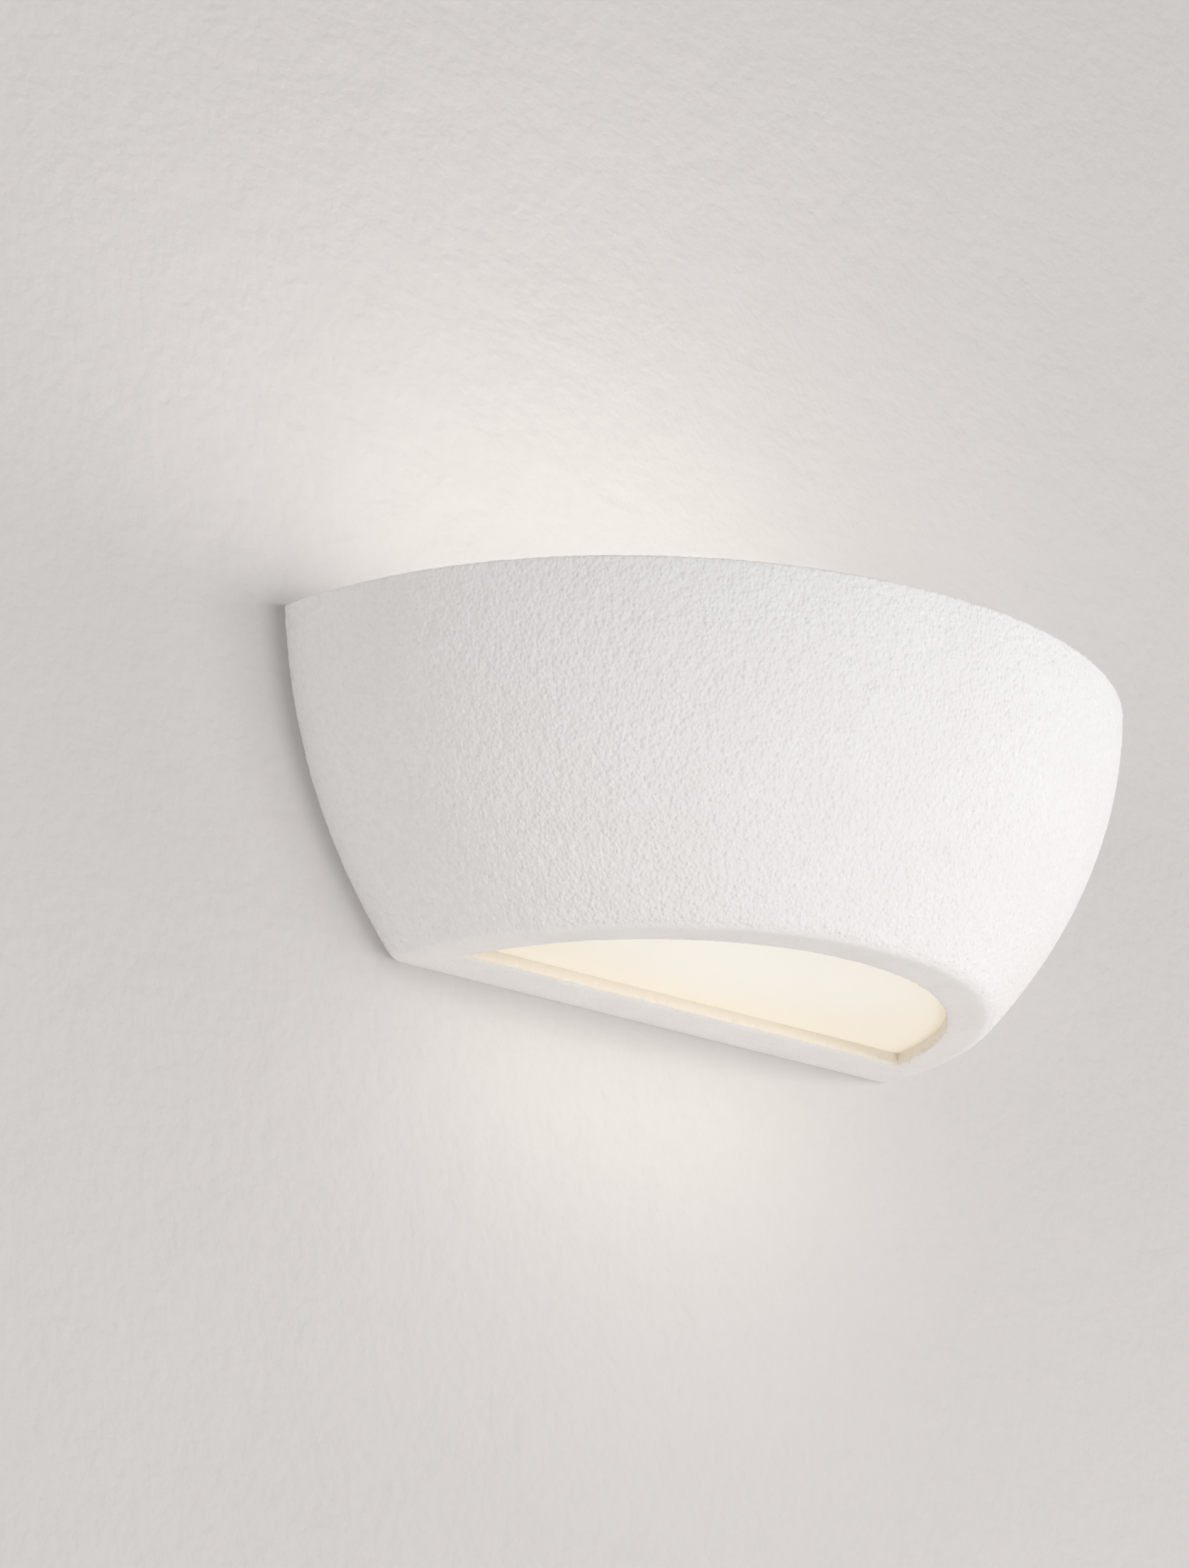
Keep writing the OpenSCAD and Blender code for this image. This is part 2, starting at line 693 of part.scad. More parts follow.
// Quartz tube with domed ends, drawn down to a flat pinch at each end
module lamp_tube() {
    neck = 2.5;
    end_t = 1;
    inner = tube_d / 2 - tube_t;
    color([0.90, 0.93, 0.95, 0.5])
        translate([0, -lamp_out, lamp_up]) {
            difference() {
                rotate([0, 90, 0])
                    rotate_extrude($fn = hole_fn)
                        polygon([[0, -tube_half - neck], [pinch_t / 2, -tube_half - neck],
                            [tube_d / 2, -tube_half + neck], [tube_d / 2, tube_half - neck],
                            [pinch_t / 2, tube_half + neck], [0, tube_half + neck]]);
                rotate([0, 90, 0])
                    rotate_extrude($fn = hole_fn)
                        polygon([[0, -tube_half + end_t], [inner, -tube_half + neck + end_t],
                            [inner, tube_half - neck - end_t], [0, tube_half - end_t]]);
            }
            for (side = [-1, 1]) {
                x0 = min(side * tube_half, side * (cap_in + pinch_in));
                translate([x0, -pinch_t / 2, -pinch_w / 2])
                    cube([cap_in + pinch_in - tube_half, pinch_t, pinch_w]);
            }
        }
}

// Ceramic end: a slotted sleeve on the pinch, with a recess for the contact button
module lamp_caps() {
    recess = button_d + pin_play;
    fit = pinch_fit;
    color([0.94, 0.93, 0.90])
        for (side = [-1, 1])
            difference() {
                rod_lamp(side * cap_in, side * cap_end, cap_d);
                rod_lamp(side * (button_x - button_t), side * (cap_end + cut), recess);
                x0 = min(side * (cap_in - cut), side * (cap_in + pinch_in + fit));
                box([x0, -lamp_out - pinch_t / 2 - fit, lamp_up - pinch_w / 2 - fit],
                    [x0 + pinch_in + fit + cut, -lamp_out + pinch_t / 2 + fit, lamp_up + pinch_w / 2 + fit]);
            }
}

module lamp_buttons() {
    color([0.76, 0.74, 0.70])
        for (side = [-1, 1])
            rod_lamp(side * (button_x - button_t), side * button_x, button_d);
}

// Coiled wire as a slim rod, with round spacers that centre it in the tube
module lamp_filament() {
    wire_d = 1.4;
    spacer_t = 0.4;
    spacer_d = tube_d - 2 * tube_t - pin_play;
    reach = tube_half * 0.87;
    color([0.55, 0.52, 0.48]) {
        rod_lamp(-reach, reach, wire_d);
        for (k = [-2 : 2]) {
            x = k * reach / 2.5;
            rod_lamp(x - spacer_t / 2, x + spacer_t / 2, spacer_d);
        }
    }
}

// ---- Reflector ----

module reflector() {
    steps = 14;
    low = asin((lamp_up - shelf_z) / reflector_r);
    angles = [for (i = [0 : steps]) -low + (low + reflector_top) * i / steps];
    curve = concat(
        [for (a = angles) reflector_r * [cos(a), sin(a)]],
        [for (i = [steps : -1 : 0]) (reflector_r + reflector_t) * [cos(angles[i]), sin(angles[i])]]);
    shelf_end = -lamp_out + reflector_r * cos(low) + thread_play;
    color([0.90, 0.90, 0.90]) {
        translate([-reflector_l / 2, -lamp_out, lamp_up])
            rotate([90, 0, 90])
                linear_extrude(reflector_l)
                    polygon(curve);
        box([-shelf_w / 2, shelf_end, shelf_z], [shelf_w / 2, web_front, shelf_z + reflector_t]);
        difference() {
            box([-shelf_w / 2, web_front - reflector_t, shelf_z],
                [shelf_w / 2, web_front, cradle_high - shelf_in]);
            for (side = [-1, 1])
                rod_y(side * rivet_x, lamp_up, web_front + cut, web_front - reflector_t - cut,
                    rivet_d + thread_play);
        }
    }
}

module reflector_rivets() {
    head_t = 1.2;
    seat = web_front - reflector_t;
    color([0.82, 0.82, 0.82])
        for (side = [-1, 1]) {
            rod_y(side * rivet_x, lamp_up, seat - head_t, seat, rivet_d * 2);
            rod_y(side * rivet_x, lamp_up, seat, -bar_t, rivet_d);
        }
}

// ---- Wiring ----

module terminal_block() {
    half_w = pole_pitch * 1.5;
    low = block_z - block_h / 2;
    high = block_z + block_h / 2;
    rib_step = 1;
    color([0.95, 0.95, 0.93])
        difference() {
            union() {
                box([block_x - half_w, -bar_t - block_low, low], [block_x + half_w, -bar_t, high]);
                for (p = poles)
                    box([block_x + p * pole_pitch - pole_rib / 2, block_front, low + rib_step],
                        [block_x + p * pole_pitch + pole_rib / 2, -bar_t, high - rib_step]);
            }
            for (p = poles) {
                translate([block_x + p * pole_pitch, pole_y, low - cut])
                    cylinder(d = tube_od, h = block_h + 2 * cut, $fn = hole_fn);
                pole_screw_bores(p, pole_screw_d + hole_play);
            }
            for (side = [-1, 1]) {
                x = block_x + side * pole_pitch / 2;
                rod_y(x, block_z, -bar_t + cut, block_front, block_screw_d + thread_play);
                rod_y(x, block_z, -bar_t - block_low, block_front - cut, block_screw_d * 1.8);
            }
        }
}

// The two bores of a pole's clamping screws, open to the front
module pole_screw_bores(p, d) {
    for (s = [-1, 1])
        rod_y(block_x + p * pole_pitch, block_z + s * block_h / 4, pole_y, block_front - cut, d);
}

module terminal_tubes() {
    low = block_z - block_h / 2;
    color([0.82, 0.70, 0.42])
        for (p = poles)
            difference() {
                translate([block_x + p * pole_pitch, pole_y, low + tube_in])
                    cylinder(d = tube_od - thread_play, h = block_h - 2 * tube_in, $fn = hole_fn);
                translate([block_x + p * pole_pitch, pole_y, low])
                    cylinder(d = tube_bore, h = block_h, $fn = hole_fn);
                pole_screw_bores(p, pole_screw_d + thread_play);
            }
}

module terminal_screws() {
    head = block_front + pole_screw_in;
    tip = pole_y - tube_bore / 2 - thread_play;
    slot_depth = 0.8;
    slot_half = 0.3;
    color([0.78, 0.77, 0.73])
        for (p = poles)
            for (s = [-1, 1]) {
                x = block_x + p * pole_pitch;
                z = block_z + s * block_h / 4;
                difference() {
                    rod_y(x, z, head, tip, pole_screw_d);
                    box([x - pole_screw_d, head - cut, z - slot_half],
                        [x + pole_screw_d, head + slot_depth, z + slot_half]);
                }
            }
}

// Screws that hold the block to the bar, between its poles
module block_screws() {
    head = 1.3;
    seat = -bar_t - block_low;
    color([0.75, 0.75, 0.74])
        for (side = [-1, 1]) {
            x = block_x + side * pole_pitch / 2;
            rod_y(x, block_z, 0, seat, block_screw_d - thread_play);
            rod_y(x, block_z, seat, seat - head, block_screw_d * 1.7);
        }
}

module earth_screw() {
    color([0.80, 0.68, 0.40])
        pan_screw(earth_x, earth_z, -bar_t - tag_t, bar_t + tag_t, earth_d);
}

// Ring tongue under the earth screw, with the strip that the lead is crimped to
module earth_tag() {
    ring = earth_d * 2.1;
    strip_w = 3.2;
    strip_l = 4;
    color([0.80, 0.80, 0.79])
        difference() {
            union() {
                rod_y(earth_x, earth_z, -bar_t - tag_t, -bar_t, ring);
                box([earth_x - strip_w / 2, -bar_t - tag_t, earth_z],
                    [earth_x + strip_w / 2, -bar_t, earth_z + ring / 2 + strip_l]);
            }
            rod_y(earth_x, earth_z, cut, -bar_t - tag_t - cut, earth_d + pin_play);
        }
}

// Nylon clips on the web that hold the long lead
module lead_clips() {
    wide = 5;
    foot = 4;
    foot_back = 1;
    color([0.92, 0.92, 0.90])
        for (side = [-1, 1]) {
            x = side * clip_x - wide / 2;
            difference() {
                union() {
                    translate([x, clip_y, clip_z])
                        rotate([0, 90, 0])
                            cylinder(d = lead_d + 2 * clip_wall, h = wide, $fn = hole_fn);
                    box([x, web_front - foot_back, lamp_up - foot], [x + wide, web_front, clip_z]);
                }
                translate([x - cut, clip_y, clip_z])
                    rotate([0, 90, 0])
                        cylinder(d = lead_d + clip_play, h = wide + 2 * cut, $fn = hole_fn);
            }
        }
}

module lead(route, tint) {
    color(tint)
        swept(spline(route, 3), lead_d, 8);
}

module live_lead() { lead(live_route, [0.88, 0.86, 0.80]); }
module neutral_lead() { lead(neutral_route, [0.88, 0.86, 0.80]); }
module earth_lead() { lead(earth_route, [0.45, 0.62, 0.25]); }

bowl();
corner_lugs();
diffuser_pane();
wall_bar();
clinch_nuts();
cable_bush();
thumbscrew_left();
thumbscrew_right();
washer_left();
washer_right();
lamp_cradle();
cradle_screws();
holder_sprung();
holder_fixed();
holder_micas();
holder_screws();
contact_plunger();
contact_spring();
contact_fixed();
lamp_tube();
lamp_caps();
lamp_buttons();
lamp_filament();
reflector();
reflector_rivets();
terminal_block();
terminal_tubes();
terminal_screws();
block_screws();
earth_screw();
earth_tag();
lead_clips();
live_lead();
neutral_lead();
earth_lead();
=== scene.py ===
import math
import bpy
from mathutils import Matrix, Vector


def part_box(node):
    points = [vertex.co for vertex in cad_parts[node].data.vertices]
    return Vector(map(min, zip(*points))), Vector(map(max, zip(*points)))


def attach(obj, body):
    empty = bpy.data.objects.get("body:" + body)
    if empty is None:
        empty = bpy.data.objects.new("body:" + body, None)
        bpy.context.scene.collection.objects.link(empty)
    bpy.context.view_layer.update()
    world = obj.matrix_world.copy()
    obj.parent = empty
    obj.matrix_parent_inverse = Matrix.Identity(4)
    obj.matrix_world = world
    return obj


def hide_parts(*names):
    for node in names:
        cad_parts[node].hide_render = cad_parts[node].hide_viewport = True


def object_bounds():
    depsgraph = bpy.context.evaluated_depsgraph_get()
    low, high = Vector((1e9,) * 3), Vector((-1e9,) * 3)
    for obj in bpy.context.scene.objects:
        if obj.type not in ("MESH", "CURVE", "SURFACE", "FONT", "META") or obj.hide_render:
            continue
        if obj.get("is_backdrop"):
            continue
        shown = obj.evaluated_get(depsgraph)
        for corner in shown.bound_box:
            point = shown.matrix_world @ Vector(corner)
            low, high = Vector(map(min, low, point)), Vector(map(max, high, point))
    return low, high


bl_info = {
    "name": "Plaster wall uplighter",
    "version": (1, 0, 0),
    "blender": (4, 5, 0),
    "location": "3D View > Sidebar > Uplighter",
    "description": "Pebbled half bowl, frosted pane, wall bar and linear lamp of a wall uplighter",
    "category": "Object",
}

import bpy
from bpy.props import FloatProperty, FloatVectorProperty, IntProperty, PointerProperty
from mathutils import Matrix, Vector, noise

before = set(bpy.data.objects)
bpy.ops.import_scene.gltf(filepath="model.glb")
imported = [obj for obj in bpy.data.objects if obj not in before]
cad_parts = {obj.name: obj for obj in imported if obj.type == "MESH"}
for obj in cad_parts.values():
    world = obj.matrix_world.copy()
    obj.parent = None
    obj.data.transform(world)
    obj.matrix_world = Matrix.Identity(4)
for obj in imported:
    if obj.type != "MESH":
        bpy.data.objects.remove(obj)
CAD_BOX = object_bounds()

MM = 0.001
SHARP_ANGLE = math.radians(58)
ROUND = 2 * math.pi
WHITE = (1.0, 1.0, 1.0)


def middle(node):
    """Middle of a node's box."""
    low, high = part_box(node)
    return (low + high) / 2


def tint(red, green, blue):
    """Scene colour of a screen colour given from 0 to 255."""
    def part(value):
        shown = value / 255
        return shown / 12.92 if shown <= 0.04045 else ((shown + 0.055) / 1.055) ** 2.4
    return part(red), part(green), part(blue)


def dimmed(tone, amount):
    """Colour with an amount of its light, from 0 to 1."""
    return tuple(amount * part for part in tone)


def length(name, description, millimetres, low=0.0, high=1000.0):
    """Setting for a size, given in millimetres."""
    return FloatProperty(name=name, description=description, default=millimetres * MM,
                         min=low * MM, max=high * MM, precision=4, unit="LENGTH")


def share(name, description, value, low=0.0, high=1.0):
    """Setting for a share of something."""
    return FloatProperty(name=name, description=description, default=value, min=low, max=high,
                         subtype="FACTOR")


def colour(name, description, red, green, blue):
    """Setting for a colour, given as screen values from 0 to 255."""
    return FloatVectorProperty(name=name, description=description, subtype="COLOR", size=3,
                               min=0.0, max=1.0, default=tint(red, green, blue))


# ---- Sizes and colours ----

class BowlSettings(bpy.types.PropertyGroup):
    """Cast half bowl"""
    floor_width: length("Floor width", "Width of the underside along the wall", 205)
    floor_reach: length("Floor reach", "How far the underside stands out from the wall", 116)
    side_low: share("Side, low pull", "Lower pull of the side curve", 0.69)
    side_high: share("Side, high pull", "Upper pull of the side curve", 0.925, high=1.3)
    front_low: share("Front, low pull", "Lower pull of the front curve", 0.713)
    front_high: share("Front, high pull", "Upper pull of the front curve", 1.127, high=1.3)
    wall: length("Wall", "Thickness of the cast wall", 6.5)
    floor: length("Floor", "Thickness of the cast floor", 8)
    foot_radius: length("Foot radius", "Radius of the worn lower edge", 2.5)
    rim_radius: length("Rim radius", "Radius of the rim's edges", 1.2)
    inner_radius: length("Inner radius", "Fillet inside, between wall and floor", 5)
    ledge: length("Ledge", "Width of the ledge that carries the pane", 5)
    pane_play: length("Pane play", "Play of the pane in its rebate", 0.5)
    arris: length("Arris", "Worn edge of the window", 0.7)
    pebble: length("Pebble", "Size of one pebble of the relief", 1.75)
    relief: length("Relief", "Height of the pebbles", 0.5)
    smooth_band: length("Smooth band", "Height over which the relief grows above the foot", 1.5)
    chips: length("Chips", "Depth of the chips along the window's edge", 0.65)
    seed: IntProperty(name="Seed", description="Layout of the pebbles", default=7, min=0)
    plaster: colour("Plaster", "Colour of the plaster's raised grain", 242, 241, 240)
    # Darker plaster tone: random patches in the mottle, and painted shade in the hollows between the
    # grains
    dark_tone_and_hollow_shade: colour("Darker tone and hollow shade", "Colour of the plaster between the grains", 238, 236, 234)
    sanded: colour("Sanded", "Colour of the sanded underside", 243, 241, 239)
    # Painted lamp light: a warm colour laid on the plaster in the window, in place of the lamp's light
    # falling there
    cut: colour("Painted window glow", "Colour of the plaster in the window, warmed by the lamp", 240, 232, 220)


class PaneSettings(bpy.types.PropertyGroup):
    """Frosted pane in the floor's window"""
    arris: length("Arris", "Ground edge of the pane", 0.4)
    glass: colour("Glass", "Colour of the etched glass", 241, 239, 229)
    glow_middle: colour("Glow, middle", "Light in the glass near the lamp", 255, 252, 244)
    glow_edge: colour("Glow, edge", "Light in the glass far from the lamp", 246, 222, 180)
    glow: FloatProperty(name="Glow", description="Strength of the light in the glass",
                        default=0.2, min=0.0, max=2.0)


class HardwareSettings(bpy.types.PropertyGroup):
    """Metal, ceramic and plastic parts behind the bowl"""
    zinc: colour("Zinc", "Bright zinc plating", 205, 208, 212)
    brass: colour("Brass", "Turned brass", 206, 172, 104)
    copper: colour("Copper", "Copper contacts", 196, 132, 96)
    aluminium: colour("Aluminium", "Hammered bright sheet", 232, 233, 235)
    nickel: colour("Nickel", "Nickel plating", 196, 192, 184)
    tungsten: colour("Tungsten", "Drawn filament wire", 118, 112, 104)
    steatite: colour("Steatite", "Dense lamp-holder ceramic", 238, 235, 226)
    mica: colour("Mica", "Insulating sheet", 190, 168, 118)
    nylon: colour("Nylon", "Natural nylon", 232, 228, 214)
    plastic: colour("Plastic", "Terminal block", 240, 240, 236)
    rubber: colour("Rubber", "Cable bush", 44, 44, 47)
    sleeve: colour("Sleeve", "Braided glass-fibre sleeve", 226, 222, 208)
    earth_sleeve: colour("Earth sleeve", "Green of the earth lead's sleeve", 96, 146, 58)
    earth_stripe: colour("Earth stripe", "Yellow of the earth lead's sleeve", 214, 200, 70)
    flutes: IntProperty(name="Flutes", description="Flutes round a thumbscrew's head",
                        default=24, min=12, max=40)
    flute: length("Flute", "Radius of one flute", 0.6)
    neck: length("Neck", "Diameter of a thumbscrew's neck under its head", 11.2)
    neck_height: length("Neck height", "Height of the neck", 1.5)
    shank: length("Shank", "Diameter of a thumbscrew's shank", 4.9)
    lead: length("Lead", "Diameter of a sleeved lead", 2.4)
    coil: length("Coil", "Diameter of the lamp's coiled filament", 1.4)
    thread_pitch: length("Thread pitch", "Advance of the thumbscrew in one turn", 0.8)
    coils: IntProperty(name="Coils", description="Turns of the lamp's filament",
                       default=84, min=20, max=160)


class StageSettings(bpy.types.PropertyGroup):
    """Wall, floor, studio lamps and camera"""
    wall: colour("Wall", "Painted wall behind the light", 193, 189, 187)
    ground: colour("Floor", "Pale floor", 224, 222, 220)
    yaw: FloatProperty(name="Yaw", description="Camera's angle round the light",
                       default=math.radians(-38.889), subtype="ANGLE")
    pitch: FloatProperty(name="Pitch", description="Camera's angle above the light",
                         default=math.radians(-17.761), subtype="ANGLE")
    roll: FloatProperty(name="Roll", description="Camera's tilt", default=math.radians(1.777),
                        subtype="ANGLE")
    distance: length("Distance", "From the camera to the light", 1922.8, high=5000)
    aside: length("Aside", "How far the camera is moved sideways", -56.98, low=-500, high=500)
    raised: length("Raised", "How far the camera is moved up", 6.19, low=-500, high=500)
    lens: FloatProperty(name="Lens", description="Focal length in millimetres", default=140.79,
                        min=20.0, max=400.0)


# ---- Shader graphs ----

class Graph:
    """Adds nodes to a tree and joins them. An input's value is a number, a colour or an output."""

    def __init__(self, tree):
        self.tree = tree

    def add(self, kind, settings=None, **inputs):
        """New node. An underscore in an input's name stands for a space."""
        node = self.tree.nodes.new("ShaderNode" + kind)
        for name, value in (settings or {}).items():
            setattr(node, name, value)
        for name, value in inputs.items():
            self.feed(node.inputs[name.replace("_", " ")], value)
        return node

    def feed(self, socket, value):
        if isinstance(value, bpy.types.NodeSocket):
            self.tree.links.new(value, socket)
        elif socket.type == "RGBA" and len(value) == 3:
            socket.default_value = (*value, 1.0)
        else:
            socket.default_value = value

    def blend(self, factor, first, second):
        """Colour between two: the first where the factor is 0, the second where it is 1."""
        node = self.add("Mix", {"data_type": "RGBA"})
        for socket, value in ((0, factor), (6, first), (7, second)):
            self.feed(node.inputs[socket], value)
        return node.outputs[2]

    def maths(self, operation, *values, clamp=False):
        node = self.add("Math", {"operation": operation, "use_clamp": clamp})
        for socket, value in zip(node.inputs, values):
            self.feed(socket, value)
        return node.outputs[0]

    def spread(self, value, low, high, to_low=0.0, to_high=1.0):
        """Value carried smoothly from one range to another, and held at its ends."""
        node = self.add("MapRange", {"interpolation_type": "SMOOTHSTEP"}, Value=value,
                        From_Min=low, From_Max=high, To_Min=to_low, To_Max=to_high)
        return node.outputs[0]

    def spot(self):
        """Place on the piece, in metres."""
        return self.add("TexCoord").outputs["Object"]

    def distance(self, vector):
        """Length of a vector."""
        node = self.add("VectorMath", {"operation": "LENGTH"})
        self.feed(node.inputs[0], vector)
        return node.outputs["Value"]

    def mark(self, name):
        """Number that a mesh holds on its points."""
        return self.add("Attribute", {"attribute_name": name}).outputs["Fac"]


def shared_group(name, inputs, outputs, build):
    """Node group made once, with named inputs and outputs, that several materials use."""
    if name in bpy.data.node_groups:
        return bpy.data.node_groups[name]
    tree = bpy.data.node_groups.new(name, "ShaderNodeTree")
    for label, kind, value in inputs:
        socket = tree.interface.new_socket(name=label, in_out="INPUT", socket_type="NodeSocket" + kind)
        socket.default_value = (*value, 1.0) if kind == "Color" else value
    for label, kind in outputs:
        tree.interface.new_socket(name=label, in_out="OUTPUT", socket_type="NodeSocket" + kind)
    graph = Graph(tree)
    source = tree.nodes.new("NodeGroupInput").outputs
    target = tree.nodes.new("NodeGroupOutput").inputs
    for label, value in build(graph, source).items():
        graph.feed(target[label], value)
    return tree


# Samples of each softened edge, and how the soft patches and the specks share a mottle
BEVEL_SAMPLES = 4
PATCH_PART, SPECK_PART = 0.65, 0.35


def mottle_group():
    """Two tones in soft patches, with fine specks of the darker one."""
    def build(graph, source):
        spot = graph.spot()
        patches = graph.add("TexNoise", Vector=spot, Scale=source["Patches"], Detail=3.0)
        specks = graph.add("TexNoise", Vector=spot, Scale=source["Specks"], Detail=2.0)
        soft = graph.spread(patches.outputs[0], 0.32, 0.7)
        fine = graph.spread(specks.outputs[0], 0.46, 0.7)
        mask = graph.maths("MULTIPLY_ADD", fine, SPECK_PART,
                           graph.maths("MULTIPLY", soft, PATCH_PART))
        return {"Color": graph.blend(mask, source["Light"], source["Dark"]), "Mask": mask}
    inputs = [("Light", "Color", (0.8, 0.8, 0.8)), ("Dark", "Color", (0.7, 0.7, 0.7)),
              ("Patches", "Float", 60.0), ("Specks", "Float", 900.0)]
    return shared_group("Mottle", inputs, [("Color", "Color"), ("Mask", "Float")], build)


def grain_group():
    """Fine even grain, as a normal."""
    def build(graph, source):
        grains = graph.add("TexNoise", Vector=graph.spot(), Scale=source["Scale"], Detail=4.0,
                           Roughness=0.6)
        bump = graph.add("Bump", Strength=source["Strength"], Distance=source["Depth"],
                         Height=grains.outputs[0])
        return {"Normal": bump.outputs[0]}
    inputs = [("Scale", "Float", 800.0), ("Strength", "Float", 0.5), ("Depth", "Float", 0.0002)]
    return shared_group("FineGrain", inputs, [("Normal", "Vector")], build)


def rounded_group():
    """Softened edges with fine grain on them, as a normal."""
    def build(graph, source):
        edge = graph.add("Bevel", {"samples": BEVEL_SAMPLES}, Radius=source["Radius"])
        grains = graph.add("TexNoise", Vector=graph.spot(), Scale=source["Scale"], Detail=3.0)
        bump = graph.add("Bump", Strength=source["Strength"], Distance=0.1 * MM,
                         Height=grains.outputs[0], Normal=edge.outputs[0])
        return {"Normal": bump.outputs[0]}
    inputs = [("Radius", "Float", 0.0003), ("Scale", "Float", 900.0), ("Strength", "Float", 0.1)]
    return shared_group("RoundedEdges", inputs, [("Normal", "Vector")], build)


def edge_wear_group():
    """Mask that is 1 on worn outer edges, broken up by noise."""
    def build(graph, source):
        edge = graph.add("Bevel", {"samples": BEVEL_SAMPLES}, Radius=source["Radius"])
        match = graph.add("VectorMath", {"operation": "DOT_PRODUCT"})
        graph.feed(match.inputs[0], edge.outputs[0])
        graph.feed(match.inputs[1], graph.add("NewGeometry").outputs["Normal"])
        worn = graph.spread(match.outputs["Value"], 0.998, 0.90)
        patches = graph.add("TexNoise", Vector=graph.spot(), Scale=350.0, Detail=3.0)
        return {"Mask": graph.maths("MULTIPLY", worn, graph.spread(patches.outputs[0], 0.35, 0.62))}
    return shared_group("EdgeWear", [("Radius", "Float", 0.0004)], [("Mask", "Float")], build)


def streaks_group():
    """Long fine scratches along one axis: a mask and a normal."""
    def build(graph, source):
        stretched = graph.add("Mapping", Vector=graph.spot(), Scale=source["Stretch"])
        lines = graph.add("TexNoise", Vector=stretched.outputs[0], Scale=1.0, Detail=4.0,
                          Roughness=0.65)
        bump = graph.add("Bump", Strength=source["Strength"], Distance=0.05 * MM,
                         Height=lines.outputs[0])
        return {"Mask": graph.spread(lines.outputs[0], 0.3, 0.7), "Normal": bump.outputs[0]}
    inputs = [("Stretch", "Vector", (40.0, 900.0, 2500.0)), ("Strength", "Float", 0.35)]
    return shared_group("Streaks", inputs, [("Mask", "Float"), ("Normal", "Vector")], build)


class Finish(Graph):
    """Material with one Principled shader, whose plain numbers are set on its own sockets."""

    def __init__(self, name, **sockets):
        self.material = bpy.data.materials.new(name)
        self.material.use_nodes = True
        super().__init__(self.material.node_tree)
        self.shader = self.tree.nodes["Principled BSDF"]
        self.output = self.tree.nodes["Material Output"]
        self.set(**sockets)

    def set(self, **sockets):
        for name, value in sockets.items():
            self.feed(self.shader.inputs[name.replace("_", " ")], value)

    def use(self, tree, **inputs):
        """Outputs of a shared group, placed with its own values."""
        return self.add("Group", {"node_tree": tree}, **inputs).outputs

    def mottle(self, light, dark, patches, specks):
        """Two tones in soft patches, with fine specks: their sizes are counts in one metre."""
        return self.use(mottle_group(), Light=light, Dark=dark, Patches=patches, Specks=specks)

    def grain(self, scale, strength, depth):
        """Gives the shader fine even grain."""
        grain = self.use(grain_group(), Scale=scale, Strength=strength, Depth=depth)
        self.set(Normal=grain["Normal"])


def plaster_finish(settings):
    """Cast plaster: pebbled where "relief" is 1, sanded where it is less. Painted shade darkens the
    pebbles' hollows, and painted warm lamp light covers the plaster in the window.
    """
    made = Finish("CastPlaster", Roughness=0.93, Specular_IOR_Level=0.25)
    relief = made.mark("relief")
    pebbled = made.mottle(settings.plaster, settings.dark_tone_and_hollow_shade, patches=45.0, specks=700.0)
    # Painted shade: the low parts of the pebbles take the darker tone
    low = made.blend(made.spread(made.mark("height"), 0.1, 0.75), settings.dark_tone_and_hollow_shade, pebbled["Color"])
    sanded = made.mottle(settings.sanded, settings.dark_tone_and_hollow_shade, patches=70.0, specks=420.0)
    # Painted lamp light: the window's plaster takes the warm colour
    sanded_or_painted_glow = made.blend(made.mark("cut"), sanded["Color"], settings.cut)
    made.set(Base_Color=made.blend(made.spread(relief, 0.5, 1.0), sanded_or_painted_glow, low))
    spot = made.add("Mapping", Vector=made.spot(), Scale=(1.0, 1.0, PEBBLE_SQUASH)).outputs[0]
    cells = made.add("TexVoronoi", {"feature": "SMOOTH_F1"}, Vector=spot, Scale=780.0, Smoothness=0.4)
    tall = made.add("SeparateColor", Color=cells.outputs["Color"]).outputs[0]
    crown = made.maths("SUBTRACT", 1.0, cells.outputs["Distance"], clamp=True)
    crown = made.maths("MULTIPLY", crown, made.maths("MULTIPLY_ADD", tall, 0.6, 0.5))
    grit = made.add("TexNoise", Vector=spot, Scale=1500.0, Detail=3.0, Roughness=0.6)
    surface = made.maths("MULTIPLY", made.maths("MULTIPLY_ADD", grit.outputs[0], 0.5, crown), relief)
    bump = made.add("Bump", Strength=1.0, Distance=0.4 * MM, Height=surface)
    made.set(Normal=bump.outputs[0])
    return made.material


def lug_finish(settings):
    """Rough plaster of the bonded corner lugs."""
    made = Finish("BondedPlaster", Roughness=0.95)
    mottle = made.mottle(settings.sanded, settings.dark_tone_and_hollow_shade, patches=90.0, specks=600.0)
    made.set(Base_Color=mottle["Color"])
    made.grain(scale=900.0, strength=0.7, depth=0.4 * MM)
    return made.material


def pane_finish(settings):
    """Etched glass with the lamp's light in it, warmer and weaker away from the lamp."""
    made = Finish("FrostedGlass", Roughness=0.42, Transmission_Weight=0.1, IOR=1.5)
    mottle = made.mottle(settings.glass, dimmed(settings.glass, 0.97), patches=25.0, specks=1500.0)
    pane_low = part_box("diffuser_pane")[0]
    glow_y = middle("lamp_tube").y
    glow_reach = (glow_y - pane_low.y) * 1.5
    away = made.add("Mapping", {"vector_type": "TEXTURE"}, Vector=made.spot(),
                    Location=(-10 * MM, glow_y, pane_low.z), Scale=(glow_reach * 1.8, glow_reach, 1.0))
    fade = made.spread(made.distance(away.outputs[0]), 0.1, 1.1)
    made.set(Base_Color=mottle["Color"], Emission_Strength=settings.glow,
             Emission_Color=made.blend(fade, settings.glow_middle, settings.glow_edge))
    made.grain(scale=2600.0, strength=0.25, depth=0.1 * MM)
    return made.material


